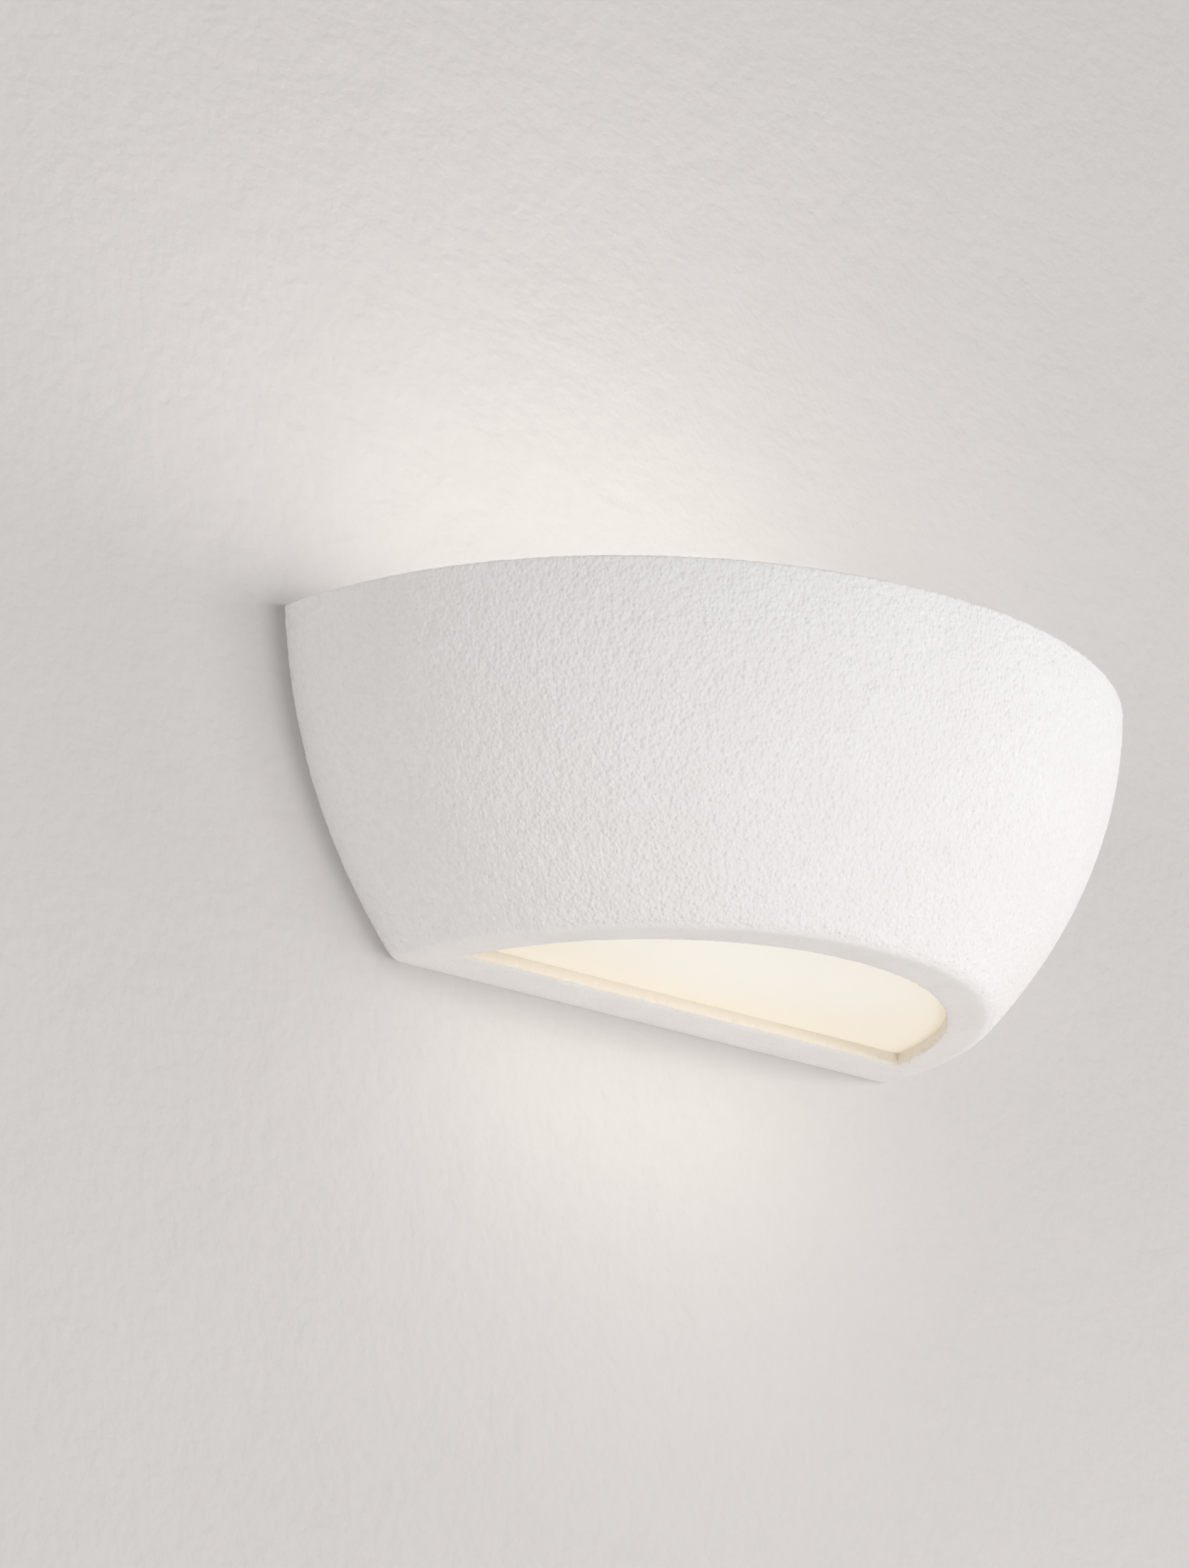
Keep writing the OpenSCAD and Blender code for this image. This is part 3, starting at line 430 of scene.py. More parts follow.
def metal_finish(name, tone, roughness, stretch=None, wear=None):
    """Plated or turned metal: two tones, softened edges, and streaks where it was drawn."""
    made = Finish(name, Metallic=1.0)
    mottle = made.mottle(tone, dimmed(tone, 0.86), patches=130.0, specks=1400.0)
    shade, edge = mottle["Color"], 0.3 * MM
    if wear:
        shade = made.blend(made.use(edge_wear_group(), Radius=edge * 1.4)["Mask"], shade, wear)
    made.set(Base_Color=shade)
    if stretch:
        lines = made.use(streaks_group(), Stretch=stretch, Strength=0.3)
        rough = made.spread(lines["Mask"], 0.0, 1.0, roughness * 0.8, roughness * 1.3)
        made.set(Normal=lines["Normal"])
    else:
        rough = made.spread(mottle["Mask"], 0.0, 1.0, roughness * 0.85, roughness * 1.25)
        made.set(Normal=made.use(rounded_group(), Radius=edge, Scale=1200.0, Strength=0.12)["Normal"])
    made.set(Roughness=rough)
    return made.material


def dull_finish(name, tone, roughness, darker=0.92, glaze=0.0):
    """Ceramic, plastic or rubber: soft mottling and softened edges, with a glaze on top."""
    made = Finish(name)
    mottle = made.mottle(tone, dimmed(tone, darker), patches=110.0, specks=900.0)
    rounded = made.use(rounded_group(), Radius=0.3 * MM, Scale=900.0, Strength=0.12)
    made.set(Base_Color=mottle["Color"], Normal=rounded["Normal"],
             Roughness=made.spread(mottle["Mask"], 0.0, 1.0, roughness * 0.88, roughness * 1.15))
    if glaze:
        made.set(Coat_Weight=glaze, Coat_Roughness=0.12)
    return made.material


def quartz_finish():
    """Clear quartz with a faint haze."""
    made = Finish("ClearQuartz", Transmission_Weight=1.0, IOR=1.46)
    haze = made.add("TexNoise", Vector=made.spot(), Scale=140.0, Detail=2.0).outputs[0]
    made.set(Base_Color=made.blend(haze, tint(250, 252, 253), tint(238, 243, 246)),
             Roughness=made.spread(haze, 0.35, 0.7, 0.02, 0.09))
    return made.material


def filament_finish(tone):
    """Glowing wire, a little hotter in patches."""
    made = Finish("GlowingTungsten", Metallic=1.0, Roughness=0.4, Emission_Strength=1.0)
    heat = made.add("TexNoise", Vector=made.spot(), Scale=90.0, Detail=2.0).outputs[0]
    made.set(Base_Color=made.blend(heat, tone, dimmed(tone, 0.8)),
             Emission_Color=made.blend(heat, tint(255, 238, 200), tint(255, 226, 170)))
    return made.material


def sleeve_finish(name, tone, stripe=None):
    """Braided sleeve with painted shade in the gaps between the strands, so that the crowns are lighter,
    and a wound stripe where there is one.
    """
    made = Finish(name, Roughness=0.82, Sheen_Weight=0.25, Specular_IOR_Level=0.3)
    shade = made.mottle(tone, dimmed(tone, 0.84), patches=260.0, specks=2400.0)["Color"]
    if stripe:
        shade = made.blend(made.spread(made.mark("stripe"), 0.45, 0.55), shade, stripe)
    # Painted shade: the low parts of the braid are darkened towards black
    low = made.blend(0.5, shade, (0.0, 0.0, 0.0))
    made.set(Base_Color=made.blend(made.spread(made.mark("height"), 0.0, 0.55), low, shade))
    made.grain(scale=5000.0, strength=0.4, depth=0.08 * MM)
    return made.material


# ---- Meshes ----

def mark_points(mesh, marks):
    """Puts named numbers on a mesh's points, for its finish to read."""
    for label, values in marks.items():
        mesh.attributes.new(label, "FLOAT", "POINT").data.foreach_set("value", values)


def make_piece(name, points, faces, body, replaced, slot, material, sharp=SHARP_ANGLE):
    """New smooth-shaded piece on its body, in place of a plain solid. Returns its mesh."""
    mesh = bpy.data.meshes.new(name)
    mesh.from_pydata(points, [], faces)
    mesh.validate()
    mesh.shade_smooth()
    mesh.set_sharp_from_angle(angle=sharp)
    mesh.materials.append(material)
    piece = bpy.data.objects.new(name, mesh)
    bpy.context.scene.collection.objects.link(piece)
    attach(piece, body)
    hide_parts(replaced)
    return mesh


def tube_faces(rings, sides):
    """Faces of a closed tube, whose rings of points lie one after the other."""
    faces = []
    for ring in range(rings - 1):
        near, far = ring * sides, (ring + 1) * sides
        for k in range(sides):
            after = (k + 1) % sides
            faces.append((near + k, near + after, far + after, far + k))
    faces.append(tuple(reversed(range(sides))))
    faces.append(tuple(range((rings - 1) * sides, rings * sides)))
    return faces


def turned(profile, sides, place):
    """Points and faces of a closed turned body. The profile's points are (along, radius), where
    the radius may be a function of the angle, and place puts a point in the frame."""
    points = []
    for along, radius in profile:
        for k in range(sides):
            angle = ROUND * k / sides
            reach = radius(angle) if callable(radius) else radius
            points.append(place(along, reach * math.cos(angle), reach * math.sin(angle)))
    return points, tube_faces(len(profile), sides)


def join_parts(parts):
    """Points and faces of several bodies as one."""
    points, faces = [], []
    for part_points, part_faces in parts:
        shift = len(points)
        points += part_points
        faces += [tuple(index + shift for index in face) for face in part_faces]
    return points, faces


def smooth_route(route, steps):
    """Smooth curve through the points of a route, with a number of steps between each two."""
    count = len(route)
    def at(i):
        return route[max(0, min(count - 1, i))]
    path = []
    for i in range(count - 1):
        a, b, c, d = at(i - 1), at(i), at(i + 1), at(i + 2)
        for j in range(steps):
            t = j / steps
            path.append((2 * b + (c - a) * t + (2 * a - 5 * b + 4 * c - d) * t * t
                         + (3 * b - a - 3 * c + d) * t * t * t) / 2)
    return path + [route[-1]]


def swept(path, sides, radius):
    """Tube along a path. The radius may be a function of the angle and of the run so far."""
    points, run = [], 0.0
    # A direction that no path starts along
    across = Vector((0.13, 0.31, 0.94))
    for i, spot in enumerate(path):
        ahead = (path[min(i + 1, len(path) - 1)] - path[max(i - 1, 0)]).normalized()
        across = (across - ahead * across.dot(ahead)).normalized()
        over = ahead.cross(across)
        run += (spot - path[i - 1]).length if i else 0.0
        for k in range(sides):
            angle = ROUND * k / sides
            reach = radius(angle, run) if callable(radius) else radius
            points.append(spot + (across * math.cos(angle) + over * math.sin(angle)) * reach)
    return points, tube_faces(len(path), sides)


def smooth_step(value):
    """From 0 to 1 with soft ends, and held there."""
    value = max(0.0, min(1.0, value))
    return value * value * (3 - 2 * value)


# ---- Bowl ----

# Sections round the bowl, and steps of one section: up the side, down inside, round each
# edge, over the floor inside and along the underside; then steps of the strip at the back
COLUMNS = 500
SIDE_ROWS = 140
INSIDE_ROWS = 10
EDGE_ROWS = 4
TOP_ROWS = 4
FLOOR_ROWS = 6
BACK_COLUMNS = 280

# The flat map, from 0 to 1 upwards: the skin, the strip and the back face
SKIN_TOP = 0.9
STRIP_LOW, STRIP_TALL = 0.91, 0.06
BACK_LOW, BACK_TALL, BACK_HALF = 0.98, 0.015, 0.49

# How far the pebbles are flattened, how round they are, the parts of their height, and how
# fast the height changes from one to the next and over each
PEBBLE_SQUASH = 0.85
PEBBLE_ROUND = 1.3
LEAST_PART, TALL_PART, FINE_PART = 0.3, 0.5, 0.2
TALL_WAVES, FINER_WAVES = 5.3, 1.9

# The soft skin: waves in one metre, and depth. The window's chips: waves of the wide and the
# fine ones, the share of the fine ones, and the share by which the edge may stand proud
SOFT_WAVES = (260, 900)
SOFT_DEPTH = 0.05 * MM
WIDE_WAVES, FINE_WAVES = 620, 1400
FINE_CHIPS = 0.7
PROUD_CHIPS = 0.2

# How much of the grain shows in the window and inside, and what counts as on the wall
WINDOW_GRAIN, INSIDE_GRAIN = 0.5, 0.3
ON_WALL = 0.2 * MM


def pull(t, start, end, low, high):
    """Cubic curve from start to end whose middle points lie at shares of the way between them."""
    first = start + (end - start) * low
    second = start + (end - start) * high
    return (start * (1 - t) ** 3 + 3 * first * (1 - t) ** 2 * t
            + 3 * second * (1 - t) * t * t + end * t ** 3)


class BowlForm:
    """Half ellipses whose width and reach follow two curves from the floor up to the rim."""

    def __init__(self, size):
        low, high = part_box("bowl")
        self.size = size
        self.base, self.height = low.z, high.z - low.z
        self.rim_half, self.rim_reach = high.x, -low.y
        pane_low, pane_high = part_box("diffuser_pane")
        self.ledge_top = pane_low.z - self.base
        seat = size.ledge - size.pane_play
        self.window_back = -pane_high.y + seat
        pane_reach = -pane_low.y
        pane_half = pane_high.x / math.sqrt(1 - (pane_high.y / pane_reach) ** 2)
        self.window_half, self.window_reach = pane_half - seat, pane_reach - seat

    def outside(self, height):
        """Half width and reach of the outside at a height."""
        t, size = height / self.height, self.size
        return (pull(t, size.floor_width / 2, self.rim_half, size.side_low, size.side_high),
                pull(t, size.floor_reach, self.rim_reach, size.front_low, size.front_high))

    def wall_point(self, height, inset, angle):
        """Point in the wall, at an inset from the outside and an angle round the bowl."""
        half, reach = self.outside(height)
        return Vector(((half - inset) * math.cos(angle), -(reach - inset) * math.sin(angle),
                       self.base + height))

    def stations(self):
        """Heights and insets from the foot over the rim to the floor inside."""
        size = self.size
        foot, rim, fillet = size.foot_radius, size.rim_radius, size.inner_radius
        quarter = [math.pi / 2 * i / EDGE_ROWS for i in range(EDGE_ROWS + 1)]
        path = [(foot * (1 - math.cos(a)), foot * (1 - math.sin(a))) for a in quarter[:-1]]
        side = self.height - rim - foot
        path += [(foot + side * i / SIDE_ROWS, 0.0) for i in range(SIDE_ROWS)]
        path += [(self.height - rim * (1 - math.sin(a)), rim * (1 - math.cos(a))) for a in quarter]
        path += [(self.height - rim * (1 - math.cos(a)), size.wall - rim * (1 - math.sin(a)))
                 for a in quarter]
        inside = self.height - rim - size.floor - fillet
        path += [(self.height - rim - inside * i / INSIDE_ROWS, size.wall) for i in range(1, INSIDE_ROWS)]
        path += [(size.floor + fillet * (1 - math.sin(a)), size.wall + fillet * (1 - math.cos(a)))
                 for a in quarter]
        return path

    def window_point(self, grown, height, angle_share):
        """Point on the window's half-round line, grown outwards, a share of the way round it."""
        half, reach = self.window_half + grown, self.window_reach + grown
        back = self.window_back - grown
        start = math.asin(back / reach)
        angle = start + (math.pi - 2 * start) * angle_share
        return Vector((half * math.cos(angle), -reach * math.sin(angle), self.base + height))

    def section(self, column):
        """Points of one section: up the outside, over the rim, down inside, in along the floor,
        down the rebate and the window, and back out under the floor."""
        size = self.size
        part = column / COLUMNS
        wall = [self.wall_point(h, inset, math.pi * part) for h, inset in self.stations()]
        arris = size.arris
        steps = [(size.ledge, size.floor), (size.ledge, self.ledge_top), (0.0, self.ledge_top)]
        steps += [(0.0, self.ledge_top * 0.6), (0.0, arris), (arris * 0.3, arris * 0.3), (arris, 0.0)]
        window = [self.window_point(grown, height, part) for grown, height in steps]
        top = [wall[-1].lerp(window[0], i / TOP_ROWS) for i in range(1, TOP_ROWS)]
        under = [window[-1].lerp(wall[0], i / FLOOR_ROWS) for i in range(1, FLOOR_ROWS)]
        return wall, top + window + under


def pebbles(spot, size):
    """Pebbled relief at a spot, from 0 between the pebbles to 1 on the tops."""
    place = Vector((spot.x, spot.y, spot.z * PEBBLE_SQUASH)) / size
    distances, centres = noise.voronoi(place)
    crown = max(0.0, 1 - PEBBLE_ROUND * distances[0] * distances[0])
    tall = 0.5 + 0.5 * noise.noise(centres[0] * TALL_WAVES)
    fine = 0.5 + 0.5 * noise.noise(place * FINER_WAVES)
    return crown * (LEAST_PART + TALL_PART * tall) + FINE_PART * fine


def bowl_mesh(form):
    """Closed skin of the bowl: points, faces, their places on the flat map, and the row of the
    section that each point belongs to."""
    sections = [form.section(column) for column in range(COLUMNS + 1)]
    floor_start = len(sections[0][0])
    points = [spot for wall, floor in sections for spot in wall + floor]
    rows = len(points) // (COLUMNS + 1)
    run = [0.0]
    for row in range(rows):
        run.append(run[-1] + (points[(row + 1) % rows] - points[row]).length)
    faces, flat = [], []
    for c in range(COLUMNS):
        for r in range(rows):
            faces.append((c * rows + r, c * rows + (r + 1) % rows,
                          (c + 1) * rows + (r + 1) % rows, (c + 1) * rows + r))
            left, right = c / COLUMNS, (c + 1) / COLUMNS
            low, high = SKIN_TOP * run[r] / run[-1], SKIN_TOP * run[r + 1] / run[-1]
            flat.append(((left, low), (left, high), (right, high), (right, low)))
    # The straight side behind the window joins the first column to the last
    strip = [r % rows for r in range(floor_start - 1, rows + 1)]
    last = COLUMNS * rows
    between = {0: strip, BACK_COLUMNS: [last + r for r in strip]}
    for step in range(1, BACK_COLUMNS):
        between[step] = list(range(len(points), len(points) + len(strip)))
        points += [points[r].lerp(points[last + r], step / BACK_COLUMNS) for r in strip]
    for step in range(BACK_COLUMNS):
        near, far = between[step], between[step + 1]
        left, right = step / BACK_COLUMNS, (step + 1) / BACK_COLUMNS
        for k in range(len(strip) - 1):
            faces.append((near[k], far[k], far[k + 1], near[k + 1]))
            low = STRIP_LOW + STRIP_TALL * k / len(strip)
            high = STRIP_LOW + STRIP_TALL * (k + 1) / len(strip)
            flat.append(((left, low), (right, low), (right, high), (left, high)))
    # The back face lies on the wall as one flat outline
    outline = list(range(floor_start))
    outline += [between[step][0] for step in range(1, BACK_COLUMNS)]
    outline += [last + r for r in reversed(range(floor_start))]
    outline += [between[step][-1] for step in range(BACK_COLUMNS - 1, 0, -1)]
    faces.append(tuple(outline))
    flat.append(tuple((0.5 + BACK_HALF * points[i].x / form.rim_half,
                       BACK_LOW + BACK_TALL * (points[i].z - form.base) / form.height)
                      for i in outline))
    row_of = [i % rows for i in range((COLUMNS + 1) * rows)]
    row_of += [strip[i % len(strip)] for i in range(len(points) - len(row_of))]
    return points, faces, flat, row_of, rows


def cast_relief(mesh, row_of, rows, form):
    """Moves the points along their normals: pebbles outside, chips along the window's edge and
    a soft cast skin elsewhere. Returns the grain's strength and height, and the window's rows that get
    painted lamp light."""
    size = form.size
    offset = Vector((size.seed * 3.1, size.seed * 1.7, size.seed * 2.3)) * MM * 10
    normals = [normal.vector.copy() for normal in mesh.vertex_normals]
    wall_top = EDGE_ROWS + SIDE_ROWS + EDGE_ROWS
    window_low = rows - FLOOR_ROWS
    arris = range(window_low - 2, window_low + 1)
    window = range(window_low - 5, window_low)
    strength, heights, cut = [], [], []
    for vertex, normal, row in zip(mesh.vertices, normals, row_of):
        spot = vertex.co.copy()
        grown = smooth_step((spot.z - form.base) / size.smooth_band) if row <= wall_top else 0.0
        height = pebbles(spot + offset, size.pebble)
        soft = SOFT_DEPTH * sum(noise.noise(spot * waves + offset) for waves in SOFT_WAVES)
        step = normal * (grown * size.relief * (height - 0.5) + (1 - grown) * soft)
        if row in arris:
            wide, fine = noise.noise(spot * WIDE_WAVES + offset), noise.noise(spot * FINE_WAVES)
            aside = Vector((normal.x, normal.y, 0.0)).normalized()
            step -= aside * size.chips * max(-PROUD_CHIPS, wide + FINE_CHIPS * fine)
        # The back stays flat on the wall
        if spot.y > -ON_WALL:
            step.y = 0.0
        vertex.co = spot + step
        strength.append(max(grown, WINDOW_GRAIN if row in window else INSIDE_GRAIN))
        heights.append(height)
        # The window's rows are marked for painted lamp light
        cut.append(float(row in window))
    return {"relief": strength, "height": heights, "cut": cut}


def build_bowl(settings):
    """Cast half bowl, with its flat map."""
    form = BowlForm(settings)
    points, faces, flat, row_of, rows = bowl_mesh(form)
    mesh = make_piece("cast_bowl", points, faces, "bowl", "bowl", "plaster", plaster_finish(settings))
    mark_points(mesh, cast_relief(mesh, row_of, rows, form))
    unwrapped = mesh.uv_layers.new(name="OFBake")
    unwrapped.data.foreach_set("uv", [part for face in flat for corner in face for part in corner])
    mesh.set_sharp_from_angle(angle=SHARP_ANGLE)
    mesh.update()


# ---- Pane ----

PANE_SIDES = 180
PANE_SHARP = math.radians(20)


def build_pane(settings, bowl):
    """Half-round pane with ground edges, where the plain solid lies."""
    form = BowlForm(bowl)
    low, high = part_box("diffuser_pane")
    grown = bowl.ledge - bowl.pane_play
    arris = settings.arris
    levels = [(-arris, low.z), (0.0, low.z + arris), (0.0, high.z - arris), (-arris, high.z)]
    points = []
    for inset, z in levels:
        for k in range(PANE_SIDES + 1):
            spot = form.window_point(grown + inset, 0.0, k / PANE_SIDES)
            points.append((spot.x, spot.y, z))
    make_piece("frosted_pane", points, tube_faces(len(levels), PANE_SIDES + 1), "diffuser",
               "diffuser_pane", "frosted_glass", pane_finish(settings), sharp=PANE_SHARP)


# ---- Stage ----

def wall_finish(tone):
    """Painted wall that is solid from the front and open from behind."""
    made = Finish("PaintedWall", Roughness=0.95)
    mottle = made.mottle(tone, dimmed(tone, 0.97), patches=6.0, specks=120.0)
    peel = made.add("TexNoise", Vector=made.spot(), Scale=260.0, Detail=2.0, Roughness=0.5)
    waves = made.add("TexNoise", Vector=made.spot(), Scale=60.0, Detail=2.0)
    surface = made.maths("MULTIPLY_ADD", waves.outputs[0], 1.6, peel.outputs[0])
    bump = made.add("Bump", Strength=0.7, Distance=0.8 * MM, Height=surface)
    made.set(Base_Color=mottle["Color"], Normal=bump.outputs[0])
    behind = made.add("NewGeometry").outputs["Backfacing"]
    clear = made.add("BsdfTransparent").outputs[0]
    choice = made.add("MixShader")
    for socket, value in zip(choice.inputs, (behind, made.shader.outputs[0], clear)):
        made.feed(socket, value)
    made.feed(made.output.inputs["Surface"], choice.outputs[0])
    return made.material


def ground_finish(tone):
    """Pale floor that fades out far from the light, so that no edge or horizon shows."""
    made = Finish("PaleFloor", Roughness=0.85)
    mottle = made.mottle(tone, dimmed(tone, 0.98), patches=3.0, specks=60.0)
    made.set(Base_Color=mottle["Color"],
             Alpha=made.spread(made.distance(made.spot()), 1.6, 5.5, 1.0, 0.0))
    return made.material


def stage_plane(name, corners, material):
    """Flat face of the stage through four corners."""
    mesh = bpy.data.meshes.new(name)
    mesh.from_pydata(corners, [], [(0, 1, 2, 3)])
    mesh.materials.append(material)
    plane = bpy.data.objects.new(name, mesh)
    bpy.context.scene.collection.objects.link(plane)
    plane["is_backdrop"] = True
    return plane


def studio_lamp(name, place, target, width, height, power, tone=WHITE):
    """Flat lamp that faces its target: sizes in metres, power in watts."""
    data = bpy.data.lights.new(name, "AREA")
    data.shape, data.size, data.size_y = "RECTANGLE", width, height
    data.energy, data.color = power, tone
    lamp = bpy.data.objects.new(name, data)
    bpy.context.scene.collection.objects.link(lamp)
    lamp.location = place
    lamp.rotation_euler = (Vector(target) - Vector(place)).to_track_quat("-Z", "Y").to_euler()
    return lamp


# Lamps that light only the wall, that leave it out, and that the camera doesn't see
WALL_LAMPS = ("raking", "wall_left", "lamp_upward", "along_rim")
OBJECT_LAMPS = ("from_left", "from_above")
HIDDEN_LAMPS = ("lamp_upward", "along_rim", "lamp_downward", "lamp_inside")

# Strength of the white world on surfaces, and where it is seen, mirrored or seen through glass
WORLD_ON_SURFACES, WORLD_SEEN = 0.36, 0.86


def stage_lamps():
    """Soft studio lamps and faint lamps for the light's own glow, by name. Each has its place
    and target, its width and height, its power and, where it isn't white, its tint."""
    tube = middle("lamp_tube")
    upward, rim = (-30 * MM, tube.y - 35 * MM), (-110 * MM, -40 * MM)
    lamp_z, target_z = 44 * MM, 1.0
    lamps = [
        ("key", (1.2, -4.82, 0.0), (0, 0, 0), 0.9, 0.9, 95, (0.985, 0.99, 1.0)),
        ("from_right", (2.65, -1.4, 0.1), (0, 0, 0), 1.2, 1.2, 7),
        ("raking", (3.5, -6.6, -0.1), (0, 0, 0), 1.8, 1.8, 101),
        ("wall_left", (-1.4, -0.8, 0.0), (-0.4, 0, 0), 0.5, 0.8, 3.8),
        ("from_left", (-2.6, -0.3, 0.1), (0, 0, 0), 0.4, 1.4, 13),
        ("from_above", (0.9, -0.9, 1.5), (0, -0.1, 0), 0.9, 0.9, 4.2),
        ("from_below", (0.3, -0.7, -1.0), (0, -0.05, 0), 0.8, 0.8, 3.9),
        ("from_behind", (0.8, 3.2, 1.6), (0, 0, 0), 2.4, 2.4, 60),
        ("lamp_upward", (*upward, lamp_z), (*upward, target_z), 240 * MM, 60 * MM, 0.22,
         (1.0, 0.97, 0.92)),
        ("along_rim", (*rim, lamp_z), (*rim, target_z), 80 * MM, 24 * MM, 0.014, (1.0, 0.96, 0.93)),
        ("lamp_downward", (-10 * MM, tube.y + 5 * MM, -64 * MM), (-10 * MM, tube.y + 0.21, -1.0),
         150 * MM, 40 * MM, 0.04, (1.0, 0.98, 0.94)),
        ("lamp_inside", (tube.x, tube.y, 35 * MM), (tube.x, tube.y, target_z),
         110 * MM, 12 * MM, 0.04, (1.0, 0.95, 0.88)),
    ]
    return {name: studio_lamp(name, *facts) for name, *facts in lamps}


def build_world():
    """White surroundings, dimmer as light on the object than as background."""
    world = bpy.data.worlds.new("Studio")
    bpy.context.scene.world = world
    world.use_nodes = True
    graph = Graph(world.node_tree)
    background = world.node_tree.nodes["Background"]
    ray = graph.add("LightPath").outputs
    mirrored = graph.maths("MAXIMUM", ray["Is Glossy Ray"], ray["Is Transmission Ray"])
    seen = graph.maths("MAXIMUM", ray["Is Camera Ray"], mirrored)
    graph.feed(background.inputs["Color"], WHITE)
    graph.feed(background.inputs["Strength"],
               graph.spread(seen, 0.0, 1.0, WORLD_ON_SURFACES, WORLD_SEEN))


def build_stage(settings):
    """Wall, floor, lamps and world. Light linking keeps some lamps on or off the wall."""
    wall_y, wide, low, high = 0.3 * MM, 3.0, -1.1, 2.6
    wall = stage_plane("wall", [(-wide, wall_y, low), (wide, wall_y, low), (wide, wall_y, high),
                                (-wide, wall_y, high)], wall_finish(settings.wall))
    wall.visible_shadow = False
    reach = 9.0
    stage_plane("ground", [(-reach, -reach, low), (reach, -reach, low), (reach, reach, low),
                           (-reach, reach, low)], ground_finish(settings.ground))
    lamps = stage_lamps()
    only_wall = bpy.data.collections.new("LitWall")
    no_wall = bpy.data.collections.new("UnlitWall")
    for linked in (only_wall, no_wall):
        linked.objects.link(wall)
    for name in WALL_LAMPS:
        lamps[name].light_linking.receiver_collection = only_wall
    lamps["wall_left"].light_linking.blocker_collection = only_wall
    for name in OBJECT_LAMPS:
        lamps[name].light_linking.receiver_collection = no_wall
    no_wall.collection_objects[0].light_linking.link_state = "EXCLUDE"
    for name in HIDDEN_LAMPS:
        lamps[name].visible_camera = False
    build_world()


# What the camera looks at, the width of its picture in millimetres and how far it sees
AIM = Vector((0.0, -60 * MM, 0.0))
PICTURE_WIDTH = 36.0
FARTHEST = 50.0


def place_camera(settings):
    """Camera at the photograph's viewing angle."""
    yaw, pitch, roll = settings.yaw, settings.pitch, settings.roll
    back = Vector((math.sin(yaw) * math.cos(pitch), -math.cos(yaw) * math.cos(pitch), math.sin(pitch)))
    level = Vector((math.cos(yaw), math.sin(yaw), 0.0))
    above = back.cross(level)
    right = level * math.cos(roll) + above * math.sin(roll)
    up = above * math.cos(roll) - level * math.sin(roll)
    spot = AIM + back * settings.distance + right * settings.aside + up * settings.raised
    data = bpy.data.cameras.new("Camera")
    data.lens, data.sensor_width, data.clip_end = settings.lens, PICTURE_WIDTH, FARTHEST
    camera = bpy.data.objects.new("Camera", data)
    bpy.context.scene.collection.objects.link(camera)
    camera.matrix_world = Matrix.Translation(spot) @ Matrix((right, up, back)).transposed().to_4x4()
    bpy.context.scene.camera = camera


# ---- Hardware that keeps its solid's shape ----

def dress(nodes, material):
    """Gives solids that are shown as they are their finish."""
    for name in nodes:
        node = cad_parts[name]
        node.data.materials.clear()
        node.data.materials.append(material)


def build_hardware(bowl, tones):
    """All that lies behind the bowl: plain solids with finishes, screws, filament and leads."""
    along_x = (60.0, 1500.0, 1500.0)
    zinc = metal_finish("ZincSteel", tones.zinc, 0.32, wear=dimmed(tones.zinc, 0.8))
    brushed = metal_finish("BrushedZinc", tones.zinc, 0.34, stretch=along_x)
    dress(["wall_bar", "lamp_cradle"], brushed)
    dress(["clinch_nuts", "cradle_screws", "holder_screws", "terminal_screws", "block_screws"],
          zinc)
    dress(["corner_lugs"], lug_finish(bowl))
    dress(["cable_bush"], dull_finish("BlackRubber", tones.rubber, 0.62, darker=0.75))
    nylon = dull_finish("NaturalNylon", tones.nylon, 0.42)
    dress(["washer_left", "washer_right", "lead_clips"], nylon)
    brass = metal_finish("TurnedBrass", tones.brass, 0.28, wear=tint(232, 208, 150))
    for side in ("left", "right"):
        build_thumbscrew(side, tones, brass)
    machined = metal_finish("MachinedBrass", tones.brass, 0.3)
    dress(["earth_screw", "terminal_tubes"], machined)
    steatite = dull_finish("Steatite", tones.steatite, 0.4, darker=0.94, glaze=0.35)
    dress(["holder_sprung", "holder_fixed"], steatite)
    dress(["holder_micas"], dull_finish("Mica", tones.mica, 0.3, darker=0.8))
    dress(["contact_plunger", "contact_fixed"], metal_finish("CopperContact", tones.copper, 0.3))
    dress(["contact_spring"], metal_finish("SpringWire", tones.nickel, 0.22))
    dress(["lamp_caps"], dull_finish("LampCeramic", tones.steatite, 0.55))
    dress(["lamp_buttons"], metal_finish("NickelFace", tones.nickel, 0.3))
    dress(["earth_tag"], metal_finish("TinnedTag", tones.nickel, 0.32))
    dress(["lamp_tube"], quartz_finish())
    build_filament(tones)
    bright = metal_finish("BrightSheet", tones.aluminium, 0.22)
    dress(["reflector", "reflector_rivets"], bright)
    plastic = dull_finish("TerminalPlastic", tones.plastic, 0.36, glaze=0.2)
    dress(["terminal_block"], plastic)
    sleeve = sleeve_finish("GlassSleeve", tones.sleeve)
    for name in ("live_lead", "neutral_lead"):
        build_lead(name, tones, sleeve, "glass_sleeve")
    build_lead("earth_lead", tones, sleeve_finish("EarthSleeve", tones.earth_sleeve, tones.earth_stripe),
               "green_sleeve")


# ---- Thumbscrews ----

# Steps of one flute and of one turn of the thread, and sides of the shank
FLUTE_STEPS = 12
THREAD_STEPS = 8
SHANK_SIDES = 36
SCREW_SHARP = math.radians(32)


def fluted(radius, flutes, flute):
    """Radius round a head with round flutes, as a function of the angle."""
    def at(angle):
        step = ROUND / flutes
        aside = radius * (((angle + step / 2) % step) - step / 2)
        return radius - math.sqrt(max(0.0, flute * flute - aside * aside))
    return at


